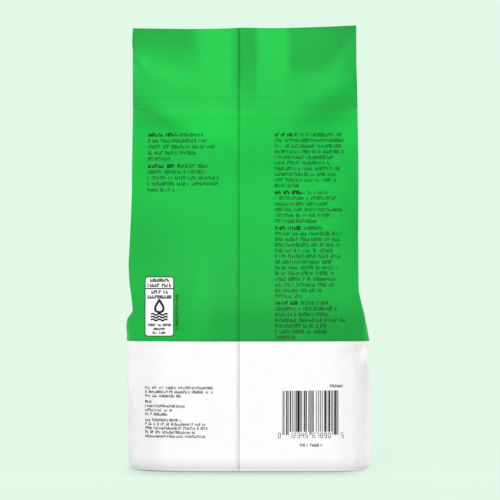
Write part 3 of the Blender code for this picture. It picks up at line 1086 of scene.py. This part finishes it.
# Strokes of a plain digit: top, upper left, upper right, middle, lower left, lower right, foot
DIGIT_STROKES = (
    "1110111",
    "0010010",
    "1011101",
    "1011011",
    "0111010",
    "1101011",
    "1101111",
    "1010010",
    "1111111",
    "1111011",
)
DIGIT_TALL = 0.0029
DIGIT_WIDE = 0.0015
DIGIT_PITCH = 0.00215
DIGIT_LOW = 0.0189
DIGIT_STROKE = 0.00028

# Groups of digits under the code: where each starts, from the code's left, the place of its first digit, and
# the place after its last
DIGIT_GROUPS = ((0.0038, 1, 6), (0.0165, 6, 11), (-0.0025, 0, 1), (0.0322, 11, 12))


def code_bars():
    """The dark bars: guards at both ends and in the middle, and six digits a side from their widths.

    Bars and spaces take turns, so every other width is a bar. The guards and the outer digits reach lower.
    """
    widths, low = [], []

    def add(values, foot):
        widths.extend(values)
        low.extend([foot] * len(values))

    last = len(CODE_DIGITS) - 1
    add(END_GUARD, CODE_GUARD_LOW)
    for place, digit in enumerate(CODE_DIGITS):
        if place == len(CODE_DIGITS) // 2:
            add(MIDDLE_GUARD, CODE_GUARD_LOW)
        add(DIGIT_WIDTHS[digit], CODE_GUARD_LOW if place in (0, last) else CODE_LOW)
    add(END_GUARD, CODE_GUARD_LOW)
    edges = CODE_LEFT + CODE_MODULE * np.cumsum([0] + widths)
    left, right = edges[:-1][::2] - CODE_SPREAD, edges[1:][::2] + CODE_SPREAD
    return np.stack([left, right, low[::2], np.full(len(left), CODE_TOP)], axis=1)


def digit_boxes(digits, left, low, wide, tall, pitch, stroke):
    """Plain digits from up to seven straight strokes each."""
    boxes = []
    for place, digit in enumerate(digits):
        a = left + place * pitch
        b, middle, top = a + wide, low + tall / 2, low + tall
        parts = (
            (a, b, top - stroke, top),
            (a, a + stroke, middle, top),
            (b - stroke, b, middle, top),
            (a, b, middle - stroke / 2, middle + stroke / 2),
            (a, a + stroke, low, middle),
            (b - stroke, b, low, middle),
            (a, b, low, low + stroke),
        )
        boxes += [part for part, shown in zip(parts, DIGIT_STROKES[digit]) if shown == "1"]
    return boxes


# Points along a round corner, round a drop and along a wave, and the power that draws a drop to its point
CORNER_POINTS = 6
DROP_POINTS = 49
WAVE_POINTS = 40
DROP_POWER = 1.5


def rounded_plate(left, right, low, high, radius, rows=26, columns=10):
    """A plate with round corners: each row's half width drops by r - sqrt(r^2 - d^2) near its ends."""
    turn = np.linspace(0, math.pi / 2, CORNER_POINTS)
    near = radius * (1 - np.cos(turn))
    between = np.linspace(low + radius, high - radius, rows)[1:-1]
    level = np.concatenate([low + near, between, (high - near)[::-1]])
    into = np.clip(radius - np.minimum(level - low, high - level), 0, radius)
    half = (right - left) / 2 - (radius - np.sqrt(radius**2 - into**2))
    across = np.linspace(-1, 1, columns + 1)
    x = (left + right) / 2 + half[:, None] * across[None, :]
    return x[None], np.broadcast_to(level[:, None], x.shape)[None]


def ribbon(path, width):
    """A line of even width along a path of x and height, as one plate across its own direction."""
    path = np.asarray(path, float)
    ahead = np.gradient(path, axis=0)
    if np.allclose(path[0], path[-1]):
        ahead[0] = ahead[-1] = path[1] - path[-2]
    ahead = ahead / np.linalg.norm(ahead, axis=1, keepdims=True)
    side = np.stack([ahead[:, 1], -ahead[:, 0]], axis=1) * width / 2
    both = np.stack([path - side, path + side], axis=1)
    return both[None, :, :, 0], both[None, :, :, 1]


def drop_path(x, low, tall, wide):
    """A drop's outline: round below, and drawn to a point above by a sine's power."""
    turn = np.linspace(0, 2 * math.pi, DROP_POINTS)
    right = wide / 2 * np.sin(turn) * np.sin(turn / 2) ** DROP_POWER
    return np.stack([x - right, low + tall * (1 + np.cos(turn)) / 2], axis=1)


def wave_path(left, right, height, swing, waves_across):
    """A level wavy line: the height plus a sine of the place across."""
    x = np.linspace(left, right, WAVE_POINTS)
    turn = (x - left) / (right - left) * 2 * math.pi * waves_across
    return np.stack([x, height + swing * np.sin(turn)], axis=1)


# The care panel: its sides, the width of its outline, the radii of its corners, and its heights above the ink
PANEL_LEFT = -0.0553
PANEL_RIGHT = -0.0390
PANEL_LOW = 0.0748
PANEL_HIGH = 0.1079
PANEL_LINE = 0.0005
PANEL_RADIUS = 0.0016
FIELD_RADIUS = 0.0013
FIELD_LIFT = 0.00003
PANEL_PRINT_LIFT = 0.00006
PANEL_WHITE = (0.88, 0.88, 0.88)

# Its rows of print: the height, the length and the height of the blocks. Then the pitch as a share of that
# height, the weight and the share of full cells
PANEL_ROWS = (
    (0.1058, 0.0102, 0.0019),
    (0.1030, 0.0132, 0.0019),
    (0.0993, 0.0088, 0.0019),
    (0.0966, 0.0130, 0.0019),
    (0.0812, 0.0124, 0.0013),
    (0.0790, 0.0062, 0.0013),
    (0.0769, 0.0074, 0.0013),
)
PANEL_PITCH_SHARE = 0.70
PANEL_WEIGHT = 0.40
PANEL_CAPITALS = 0.95

# Its dividing line, and its drop over three waves
DIVIDER = (0.1009, 0.1015)
DIVIDER_COLUMNS = 12
DROP_LOW = 0.0882
DROP_TALL = 0.0068
DROP_WIDE = 0.0066
DROP_STROKE = 0.0012
WAVE_HEIGHTS = (0.0870, 0.0855, 0.0840)
WAVE_HALF = 0.0046
WAVE_SWING = 0.0004
WAVE_COUNT = 2.5
WAVE_STROKE = 0.0009

# Finishes of the inks and of the panel's white
INK_ROUGHNESS = 0.45
FIELD_ROUGHNESS = 0.42
INK_GLOSS = 0.15
INK_GRAIN = (900.0, 2.0)
INK_DARKER = 0.9
INK_LIGHTER = 1.1
INK_LIFT = 0.002

# The film's noises, each a scale and a detail: mottle, roughness, and the salt's coarse and fine grain
MOTTLE_NOISE = (150.0, 3.0)
ROUGHNESS_NOISE = (320.0, 2.0)
ROUGHNESS_SWING = 0.04
COARSE_NOISE = (380.0, 3.0)
COARSE_STRENGTH = 0.25
FINE_NOISE = (1700.0, 2.0)
FINE_STRENGTH = 0.20
FINE_SHARE = 0.25
NOISE_RANGE = (0.3, 0.7)
FILM_IOR = 1.48

# The studio: how the floor's shade fades at both sides of the pouch, and how its lit share ends
SIDE_FADE = (0.052, 0.070)
SIDE_SHARE = 0.08
LIT_FADE = 0.10
SHADE_SAMPLES = 16
BOUNCE_COLOUR = (0.85, 0.85, 0.85)
FLOOR_HALF = 4

# The soft boxes: a name, a place, a width and a power in watts. All are turned to the same point
LAMP_AIM = (0, 0, 0.12)
LAMPS = (
    ("key", (-0.35, -1.70, 0.85), 0.7, 9.2),
    ("fill", (0.15, -1.80, 0.30), 0.7, 4.65),
    ("top", (0.0, 0.0, 1.35), 0.5, 2.5),
    ("left", (-1.35, -0.50, 0.35), 0.6, 5.9),
    ("right", (1.35, -0.50, 0.35), 0.6, 6.9),
    ("back", (0.0, 1.70, 0.60), 0.7, 8.6),
)

# The camera's sensor and its nearest and farthest distance
SENSOR_WIDTH = 36.0
CAMERA_CLIP = (0.05, 20.0)

# The seal under the base: its ends, its free edge, its width, and its crimped ridges
BASE_SEAL_ENDS = (-0.054, 0.056)
BASE_SEAL_EDGE = -0.001
BASE_SEAL_WIDTH = 0.011
BASE_SEAL_CELLS = (30, 220)
CRIMP_RISE = 0.00012
CRIMP_COUNT = 11
CRIMP_END_POWER = 20
CRIMP_LOW = 0.00014
BASE_SEAL_REACH = 0.0003


def plain_material(name, colour, roughness):
    """Ink or paint of one colour with a faint, fine unevenness."""
    material = bpy.data.materials.new(name)
    material.use_nodes = True
    tree = material.node_tree
    shader = tree.nodes["Principled BSDF"]
    place = tree.nodes.new("ShaderNodeTexCoord")
    grain = tree.nodes.new("ShaderNodeTexNoise")
    grain.inputs["Scale"].default_value, grain.inputs["Detail"].default_value = INK_GRAIN
    tree.links.new(place.outputs["Object"], grain.inputs["Vector"])
    mix = tree.nodes.new("ShaderNodeMix")
    mix.data_type = "RGBA"
    mix.inputs["A"].default_value = (*[c * INK_DARKER for c in colour], 1.0)
    mix.inputs["B"].default_value = (*[min(1.0, c * INK_LIGHTER + INK_LIFT) for c in colour], 1.0)
    tree.links.new(grain.outputs["Fac"], mix.inputs["Factor"])
    tree.links.new(mix.outputs["Result"], shader.inputs["Base Color"])
    shader.inputs["Roughness"].default_value = roughness
    shader.inputs["Specular IOR Level"].default_value = INK_GLOSS
    return material


def film_material(name, colour, look, painted_light_name=None):
    """Printed laminate: a colour with the ink's faint mottle, a satin gloss, and the fine grain of the salt.

    The colour is deeper where ply_and_painted_shade says that more film lies behind it or paints shade, and
    is multiplied by the mottle and by the painted light attribute, where one is named.
    """
    material = bpy.data.materials.new(name)
    material.use_nodes = True
    tree = material.node_tree
    shader = tree.nodes["Principled BSDF"]
    place = tree.nodes.new("ShaderNodeTexCoord")

    def attribute(wanted):
        made = tree.nodes.new("ShaderNodeAttribute")
        made.attribute_name = wanted
        return made.outputs["Fac"]

    def noise(scale, detail):
        made = tree.nodes.new("ShaderNodeTexNoise")
        made.inputs["Scale"].default_value = scale
        made.inputs["Detail"].default_value = detail
        tree.links.new(place.outputs["Object"], made.inputs["Vector"])
        return made.outputs["Fac"]

    def mapped(source, low, high):
        made = tree.nodes.new("ShaderNodeMapRange")
        made.inputs["From Min"].default_value, made.inputs["From Max"].default_value = NOISE_RANGE
        made.inputs["To Min"].default_value = low
        made.inputs["To Max"].default_value = high
        tree.links.new(source, made.inputs["Value"])
        return made.outputs["Result"]

    def times(first, second):
        made = tree.nodes.new("ShaderNodeMix")
        made.data_type = "RGBA"
        made.blend_type = "MULTIPLY"
        made.inputs["Factor"].default_value = 1.0
        tree.links.new(first, made.inputs["A"])
        tree.links.new(second, made.inputs["B"])
        return made.outputs["Result"]

    def bump(height, strength, rise):
        made = tree.nodes.new("ShaderNodeBump")
        made.inputs["Strength"].default_value = strength
        made.inputs["Distance"].default_value = rise
        tree.links.new(height, made.inputs["Height"])
        return made

    # The deeper colour stands for the plies behind the film, and for painted shade
    layered_and_shaded = tree.nodes.new("ShaderNodeMix")
    layered_and_shaded.data_type = "RGBA"
    layered_and_shaded.inputs["A"].default_value = (*colour, 1.0)
    layered_and_shaded.inputs["B"].default_value = (*[c * look.layered_and_shade_share for c in colour], 1.0)
    tree.links.new(attribute("ply_and_painted_shade"), layered_and_shaded.inputs["Factor"])
    tinted = times(layered_and_shaded.outputs["Result"], mapped(noise(*MOTTLE_NOISE), 1 - look.mottle, 1.0))
    # The painted light attribute darkens and lightens the colour with painted shade and painted highlights
    if painted_light_name:
        tinted = times(tinted, attribute(painted_light_name))
    tree.links.new(tinted, shader.inputs["Base Color"])
    smoothest, roughest = look.roughness - ROUGHNESS_SWING, look.roughness + ROUGHNESS_SWING
    tree.links.new(mapped(noise(*ROUGHNESS_NOISE), smoothest, roughest), shader.inputs["Roughness"])
    coarse = bump(noise(*COARSE_NOISE), COARSE_STRENGTH, look.grain_rise)
    fine = bump(noise(*FINE_NOISE), FINE_STRENGTH, look.grain_rise * FINE_SHARE)
    tree.links.new(coarse.outputs["Normal"], fine.inputs["Normal"])
    tree.links.new(fine.outputs["Normal"], shader.inputs["Normal"])
    shader.inputs["IOR"].default_value = FILM_IOR
    shader.inputs["Specular IOR Level"].default_value = look.gloss
    return material


def stage_material(name, colour, look):
    """A floor that shows the plain backdrop colour to the camera and in gloss.

    It has a soft shade where the object stands close, and a share of the lamps' light near it. It lights the
    object with a neutral colour.
    """
    material = bpy.data.materials.new(name)
    material.use_nodes = True
    tree = material.node_tree
    tree.nodes.remove(tree.nodes["Principled BSDF"])
    out = tree.nodes["Material Output"]
    path = tree.nodes.new("ShaderNodeLightPath")

    def maths(operation, *values):
        made = tree.nodes.new("ShaderNodeMath")
        made.operation = operation
        for socket, value in zip(made.inputs, values):
            if isinstance(value, float):
                socket.default_value = value
            else:
                tree.links.new(value, socket)
        return made.outputs[0]

    def emission(shade, strength):
        made = tree.nodes.new("ShaderNodeEmission")
        made.inputs["Color"].default_value = (*shade, 1.0)
        if isinstance(strength, float):
            made.inputs["Strength"].default_value = strength
        else:
            tree.links.new(strength, made.inputs["Strength"])
        return made.outputs[0]

    def diffuse(shade):
        made = tree.nodes.new("ShaderNodeBsdfDiffuse")
        made.inputs["Color"].default_value = (*shade, 1.0)
        return made.outputs[0]

    def joined(kind, first, second, share=None):
        made = tree.nodes.new(kind)
        sockets = [socket for socket in made.inputs if socket.type == "SHADER"]
        tree.links.new(first, sockets[0])
        tree.links.new(second, sockets[1])
        if share is not None:
            tree.links.new(share, made.inputs["Fac"])
        return made.outputs[0]

    place = tree.nodes.new("ShaderNodeTexCoord")
    length = tree.nodes.new("ShaderNodeVectorMath")
    length.operation = "LENGTH"
    tree.links.new(place.outputs["Object"], length.inputs[0])
    fade = tree.nodes.new("ShaderNodeMapRange")
    fade.interpolation_type = "SMOOTHSTEP"
    fade.inputs["From Min"].default_value = look.lit_floor
    fade.inputs["From Max"].default_value = look.lit_floor + LIT_FADE
    tree.links.new(length.outputs["Value"], fade.inputs["Value"])
    closeness = tree.nodes.new("ShaderNodeAmbientOcclusion")
    closeness.samples = SHADE_SAMPLES
    closeness.inputs["Distance"].default_value = look.contact_reach
    parts = tree.nodes.new("ShaderNodeSeparateXYZ")
    tree.links.new(place.outputs["Object"], parts.inputs[0])
    aside = tree.nodes.new("ShaderNodeMapRange")
    aside.interpolation_type = "SMOOTHSTEP"
    aside.inputs["From Min"].default_value, aside.inputs["From Max"].default_value = SIDE_FADE
    aside.inputs["To Min"].default_value = look.contact_shade
    aside.inputs["To Max"].default_value = look.contact_shade * SIDE_SHARE
    tree.links.new(maths("ABSOLUTE", parts.outputs["X"]), aside.inputs["Value"])
    closed = maths("MULTIPLY", maths("SUBTRACT", 1.0, closeness.outputs["AO"]), aside.outputs[0])
    lit = diffuse([c * look.lit_share for c in colour])
    open_share = maths("SUBTRACT", 1.0, closed)
    glow = emission(colour, maths("MULTIPLY", open_share, 1 - look.lit_share * look.floor_level))
    near = joined("ShaderNodeAddShader", lit, glow)
    shown = joined("ShaderNodeMixShader", near, emission(colour, 1.0), fade.outputs[0])
    bounce = joined("ShaderNodeAddShader", diffuse(BOUNCE_COLOUR), emission((1.0, 1.0, 1.0), look.bounce))
    seen = maths("MAXIMUM", path.outputs["Is Camera Ray"], path.outputs["Is Glossy Ray"])
    seen = maths("MAXIMUM", seen, path.outputs["Is Transmission Ray"])
    tree.links.new(joined("ShaderNodeMixShader", bounce, shown, seen), out.inputs["Surface"])
    return material


def studio_world(colour, strength):
    """An even sky: the backdrop colour to the camera and in gloss, and a white light for everything else."""
    world = bpy.data.worlds.new("studio")
    world.use_nodes = True
    tree = world.node_tree
    out = tree.nodes["World Output"]
    light = tree.nodes["Background"]
    light.inputs["Color"].default_value = (1.0, 1.0, 1.0, 1.0)
    light.inputs["Strength"].default_value = strength
    shown = tree.nodes.new("ShaderNodeBackground")
    shown.inputs["Color"].default_value = (*colour, 1.0)
    shown.inputs["Strength"].default_value = 1.0
    path = tree.nodes.new("ShaderNodeLightPath")
    seen = path.outputs["Is Camera Ray"]
    for other in ("Is Glossy Ray", "Is Transmission Ray"):
        either = tree.nodes.new("ShaderNodeMath")
        either.operation = "MAXIMUM"
        tree.links.new(seen, either.inputs[0])
        tree.links.new(path.outputs[other], either.inputs[1])
        seen = either.outputs[0]
    mix = tree.nodes.new("ShaderNodeMixShader")
    tree.links.new(seen, mix.inputs["Fac"])
    tree.links.new(light.outputs[0], mix.inputs[1])
    tree.links.new(shown.outputs[0], mix.inputs[2])
    tree.links.new(mix.outputs[0], out.inputs["Surface"])
    bpy.context.scene.world = world


def area_lamp(name, place, aim, width, power):
    """A square soft box at a place, turned to its aim."""
    data = bpy.data.lights.new(name, "AREA")
    data.shape = "SQUARE"
    data.size = width
    data.energy = power
    lamp = bpy.data.objects.new(name, data)
    lamp.location = place
    lamp.rotation_euler = (Vector(aim) - Vector(place)).to_track_quat("-Z", "Y").to_euler()
    bpy.context.scene.collection.objects.link(lamp)
    return lamp


def length_property(name, description, default):
    """A size in metres that a user may change."""
    return FloatProperty(name=name, description=description, default=default, unit="LENGTH", precision=5)


def colour_property(name, description, default):
    """A linear colour that a user may change."""
    return FloatVectorProperty(
        name=name, description=description, default=default, subtype="COLOR", size=3, min=0.0, max=1.0
    )


def share_property(name, description, default):
    """A share, from none to all, that a user may change."""
    return FloatProperty(name=name, description=description, default=default, subtype="FACTOR")


def plain_property(name, description, default):
    """A number without a unit that a user may change."""
    return FloatProperty(name=name, description=description, default=default)


class PouchSizes(bpy.types.PropertyGroup):
    """Sizes of the pouch and its print."""

    panel_width: length_property("Panel width", "Width of the front and back panels", 0.127)
    gusset_width: length_property("Gusset width", "Width of a gusset, unfolded", 0.076)
    film_ply: length_property("Film ply", "Thickness of one ply of the film", 0.0002)
    gusset_slot: length_property("Gusset slot", "Gap between a folded gusset's legs", 0.0003)
    top_height: length_property("Top height", "Height of the top edge's middle", POUCH_HIGH.z - TOP_CLIMB)
    shoulder_height: length_property("Shoulder height", "Where the full body ends", 0.088)
    border_height: length_property("Border height", "Where the green print ends", 0.0721)
    back_bow: length_property("Back bow", "How far the back panel bows out", 0.006)
    front_bow: length_property("Front bow", "How far the front panel bows out", 0.007)
    left_bow: length_property("Left bow", "How far the left gusset bows out", 0.0008)
    right_bow: length_property("Right bow", "How far the right gusset bows out", 0.0046)
    base_round: length_property("Base round", "Radius of the lower edge", 0.0045)
    strip_drop: length_property("Strip drop", "From the top edge to the first rib", 0.0390)
    rib_rise: length_property("Rib rise", "Height of a rib of the strip", 0.00014)
    rib_width: length_property("Rib width", "Width of a rib of the strip", 0.0010)
    seal_place: length_property("Seal place", "Free edge of the lap seal, from the middle", -0.0028)
    seal_width: length_property("Seal width", "Width of the lap seal", 0.0095)
    seal_rise: length_property("Seal rise", "Height of the lap seal's edge", 0.00035)
    seal_thickness: length_property("Base seal", "Thickness of the seal under the base", 0.0006)
    wave_rise: length_property("Wave rise", "Height of the film's soft waves", 0.00022)
    ink_rise: length_property("Ink rise", "How far the print stands out", 0.00006)
    ink_sunk: length_property("Ink sunk", "How far the print reaches into the film", 0.00006)
    wave_seed: IntProperty(name="Wave seed", description="Chooses the film's soft waves", default=11)
    fold_softness: IntProperty(name="Fold softness", description="Rounds that soften the folds", default=6)


class PouchLook(bpy.types.PropertyGroup):
    """Colours and finishes."""

    green: colour_property("Green", "Printed film above the border", (0.009, 0.570, 0.070))
    white: colour_property("White", "Film below the border", (0.908, 0.908, 0.903))
    green_ink: colour_property("Ink on green", "Small print on the green film", (0.006, 0.055, 0.010))
    grey_ink: colour_property("Ink on white", "Small print on the white film", (0.030, 0.030, 0.032))
    black_ink: colour_property("Black ink", "Code bars and the panel's lines", (0.006, 0.006, 0.006))
    # The same deeper colour also gives the painted shade
    layered_and_shade_share: share_property("Layered share", "Colour left where more film lies behind", 0.42)
    mottle: share_property("Mottle", "Unevenness of the print", 0.03)
    roughness: share_property("Roughness", "Roughness of the film", 0.50)
    gloss: share_property("Gloss", "Strength of the film's gloss", 0.16)
    grain_rise: length_property("Grain rise", "Height of the salt's grain in the film", 0.0002)
    sharp_angle: plain_property("Sharp angle", "Folds sharper than this, in degrees, keep an edge", 42.0)


class StageLook(bpy.types.PropertyGroup):
    """The studio and the camera."""

    backdrop: colour_property("Backdrop", "Colour of the floor and the backdrop", (0.761, 0.947, 0.815))
    sky: plain_property("Sky", "Strength of the even light", 0.30)
    bounce: plain_property("Bounce", "Soft light that the floor adds from below", 0.13)
    lit_share: plain_property("Lit share", "Share of the floor's look from the lamps", 0.20)
    floor_level: plain_property("Floor level", "Light that the open floor receives", 0.78)
    lit_floor: length_property("Lit floor", "How far from the pouch the lamps' share starts to fade", 0.14)
    contact_shade: plain_property("Contact shade", "Depth of the shade close to the pouch", 0.80)
    contact_reach: length_property("Contact reach", "How far from the pouch that shade reaches", 0.042)
    distance: length_property("Distance", "From the camera to the pouch's middle", 1.5)
    camera_height: length_property("Camera height", "Height of the camera", 0.1225)
    camera_right: length_property("Camera place", "How far right the camera stands", 0.00283)
    view_width: length_property("View width", "Width of the picture at the pouch's middle", 0.28325)


class POUCH_OT_film(bpy.types.Operator):
    """Make the film of the pouch, with its folds"""

    bl_idname = "pouch.film"
    bl_label = "Film"

    def execute(self, context):
        film = film_piece(context.scene.pouch_sizes, context.scene.pouch_look)
        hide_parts("pouch")
        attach(film, "root")
        return {"FINISHED"}


class POUCH_OT_base_seal(bpy.types.Operator):
    """Make the crimped seal that lies folded flat under the base"""

    bl_idname = "pouch.base_seal"
    bl_label = "Base seal"

    def execute(self, context):
        size, look = context.scene.pouch_sizes, context.scene.pouch_look
        rows, columns = BASE_SEAL_CELLS
        x = np.linspace(*BASE_SEAL_ENDS, columns + 1)[None, :]
        over = np.linspace(0, 1, rows + 1)[:, None]
        y = BASE_SEAL_EDGE + BASE_SEAL_WIDTH * over
        ridges = CRIMP_RISE * np.cos(over * CRIMP_COUNT * 2 * math.pi) * (1 - over**CRIMP_END_POWER)
        lower = stacked((x, y, CRIMP_LOW + ridges))
        upper = stacked((x, y, size.seal_thickness + BASE_SEAL_REACH))
        points = np.concatenate([upper.reshape(-1, 3), lower.reshape(-1, 3)])
        faces = plate_faces(rows, columns).tolist()
        seal = mesh_object("base_seal", points, faces, film_material("seal_film", look.white, look))
        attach(seal, "root")
        return {"FINISHED"}


class POUCH_OT_green_print(bpy.types.Operator):
    """Print the two columns of small print on the green film, and a turned line beside the care panel"""

    bl_idname = "pouch.green_print"
    bl_label = "Print on green"

    def execute(self, context):
        size, look = context.scene.pouch_sizes, context.scene.pouch_look
        draw = np.random.default_rng(GREEN_SEED)
        left = filler_block(draw, LEFT_COLUMN, LEFT_PARAGRAPHS, *GREEN_STYLE)
        right = filler_block(draw, RIGHT_COLUMN, RIGHT_PARAGRAPHS, *GREEN_STYLE)
        upright = filler_line(draw, *SIDE_LINE, *SIDE_STYLE)[:, [2, 3, 0, 1]]
        ink = plain_material("green_ink", look.green_ink, INK_ROUGHNESS)
        grid = bars_grid(np.concatenate([left, right, upright]))
        ride_print(printed("green_print", [grid], ink, size, size.ink_rise))
        return {"FINISHED"}


class POUCH_OT_white_print(bpy.types.Operator):
    """Print the small print on the white film"""

    bl_idname = "pouch.white_print"
    bl_label = "Print on white"

    def execute(self, context):
        size, look = context.scene.pouch_sizes, context.scene.pouch_look
        draw = np.random.default_rng(WHITE_SEED)
        block = filler_block(draw, WHITE_COLUMN, WHITE_PARAGRAPHS, *WHITE_STYLE)
        above = filler_line(draw, *ABOVE_CODE_LINE, *CODE_STYLE)
        below = filler_line(draw, *BELOW_CODE_LINE, *CODE_STYLE)
        ink = plain_material("grey_ink", look.grey_ink, INK_ROUGHNESS)
        grid = bars_grid(np.concatenate([block, above, below]))
        ride_print(printed("white_print", [grid], ink, size, size.ink_rise))
        return {"FINISHED"}


class POUCH_OT_code(bpy.types.Operator):
    """Print the code: bars and plain digits"""

    bl_idname = "pouch.code"
    bl_label = "Code"

    def execute(self, context):
        size, look = context.scene.pouch_sizes, context.scene.pouch_look
        shared = (DIGIT_LOW, DIGIT_WIDE, DIGIT_TALL, DIGIT_PITCH, DIGIT_STROKE)
        digits = []
        for start, first, last in DIGIT_GROUPS:
            digits += digit_boxes(CODE_DIGITS[first:last], CODE_LEFT + start, *shared)
        ink = plain_material("code_ink", look.black_ink, INK_ROUGHNESS)
        grids = [bars_grid(code_bars(), rows=CODE_ROWS), bars_grid(digits)]
        ride_print(printed("code", grids, ink, size, size.ink_rise))
        return {"FINISHED"}


class POUCH_OT_care_panel(bpy.types.Operator):
    """Print the white panel with its outline, rows of small print and a drop over three waves"""

    bl_idname = "pouch.care_panel"
    bl_label = "Care panel"

    def execute(self, context):
        size, look = context.scene.pouch_sizes, context.scene.pouch_look
        black = plain_material("panel_ink", look.black_ink, INK_ROUGHNESS)
        white = plain_material("panel_white", PANEL_WHITE, FIELD_ROUGHNESS)
        sides = np.array((PANEL_LEFT, PANEL_RIGHT, PANEL_LOW, PANEL_HIGH))
        under = rounded_plate(*sides, PANEL_RADIUS)
        ride_print(printed("panel_outline", [under], black, size, size.ink_rise))
        over = rounded_plate(*(sides + PANEL_LINE * np.array((1, -1, 1, -1))), FIELD_RADIUS)
        ride_print(printed("panel_field", [over], white, size, size.ink_rise + FIELD_LIFT))
        draw = np.random.default_rng(PANEL_SEED)
        middle = (PANEL_LEFT + PANEL_RIGHT) / 2
        style = (PANEL_WEIGHT, PANEL_CAPITALS)
        lines = []
        for height, length, tall in PANEL_ROWS:
            pitch = tall * PANEL_PITCH_SHARE
            line = filler_line(draw, middle - length / 2, length, height - tall / 2, tall, pitch, *style)
            lines.append(line)
        divider = bars_grid([(PANEL_LEFT, PANEL_RIGHT, *DIVIDER)], columns=DIVIDER_COLUMNS)
        drop = ribbon(drop_path(middle, DROP_LOW, DROP_TALL, DROP_WIDE), DROP_STROKE)
        grids = [bars_grid(np.concatenate(lines)), divider, drop]
        for height in WAVE_HEIGHTS:
            wave = wave_path(middle - WAVE_HALF, middle + WAVE_HALF, height, WAVE_SWING, WAVE_COUNT)
            grids.append(ribbon(wave, WAVE_STROKE))
        ride_print(printed("panel_print", grids, black, size, size.ink_rise + PANEL_PRINT_LIFT))
        return {"FINISHED"}


class POUCH_OT_stage(bpy.types.Operator):
    """Set the floor, the even sky, the soft boxes and the camera"""

    bl_idname = "pouch.stage"
    bl_label = "Stage"

    def execute(self, context):
        look = context.scene.pouch_stage
        scene = context.scene
        scene.view_settings.view_transform = "Standard"
        backdrop = tuple(look.backdrop)
        floor_material = stage_material("floor", backdrop, look)
        corners = [(FLOOR_HALF * x, FLOOR_HALF * y, 0) for x, y in ((-1, -1), (1, -1), (1, 1), (-1, 1))]
        mesh_object("floor", corners, [(0, 1, 2, 3)], floor_material)
        studio_world(backdrop, look.sky)
        for name, place, width, power in LAMPS:
            area_lamp(name, place, LAMP_AIM, width, power)
        data = bpy.data.cameras.new("camera")
        data.sensor_width = SENSOR_WIDTH
        data.lens = data.sensor_width * look.distance / look.view_width
        data.clip_start, data.clip_end = CAMERA_CLIP
        camera = bpy.data.objects.new("camera", data)
        camera.location = (look.camera_right, -look.distance, look.camera_height)
        camera.rotation_euler = (math.pi / 2, 0, 0)
        scene.collection.objects.link(camera)
        scene.camera = camera
        return {"FINISHED"}


def ride_print(piece):
    """Print moves with the pouch."""
    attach(piece, "root")


OPERATORS = (
    POUCH_OT_film,
    POUCH_OT_base_seal,
    POUCH_OT_green_print,
    POUCH_OT_white_print,
    POUCH_OT_code,
    POUCH_OT_care_panel,
    POUCH_OT_stage,
)


class POUCH_PT_sidebar(bpy.types.Panel):
    """Lists the pouch's pieces and sizes"""

    bl_idname = "POUCH_PT_sidebar"
    bl_label = "Bath salt pouch"
    bl_space_type = "VIEW_3D"
    bl_region_type = "UI"
    bl_category = "Pouch"

    def draw(self, context):
        layout = self.layout
        for operator in OPERATORS:
            layout.operator(operator.bl_idname)
        for group in (context.scene.pouch_sizes, context.scene.pouch_look, context.scene.pouch_stage):
            box = layout.box()
            for name in group.__annotations__:
                box.prop(group, name)


CLASSES = (PouchSizes, PouchLook, StageLook, *OPERATORS, POUCH_PT_sidebar)


def register():
    """Adds the classes, and the settings that the scene holds."""
    for made in CLASSES:
        bpy.utils.register_class(made)
    bpy.types.Scene.pouch_sizes = PointerProperty(type=PouchSizes)
    bpy.types.Scene.pouch_look = PointerProperty(type=PouchLook)
    bpy.types.Scene.pouch_stage = PointerProperty(type=StageLook)


def unregister():
    """Takes the settings and the classes away again, the last first."""
    del bpy.types.Scene.pouch_stage
    del bpy.types.Scene.pouch_look
    del bpy.types.Scene.pouch_sizes
    for made in reversed(CLASSES):
        bpy.utils.unregister_class(made)


def main():
    """Makes every piece and the stage."""
    register()
    bpy.ops.pouch.film()
    bpy.ops.pouch.base_seal()
    bpy.ops.pouch.green_print()
    bpy.ops.pouch.white_print()
    bpy.ops.pouch.code()
    bpy.ops.pouch.care_panel()
    bpy.ops.pouch.stage()


if __name__ == "__main__":
    main()
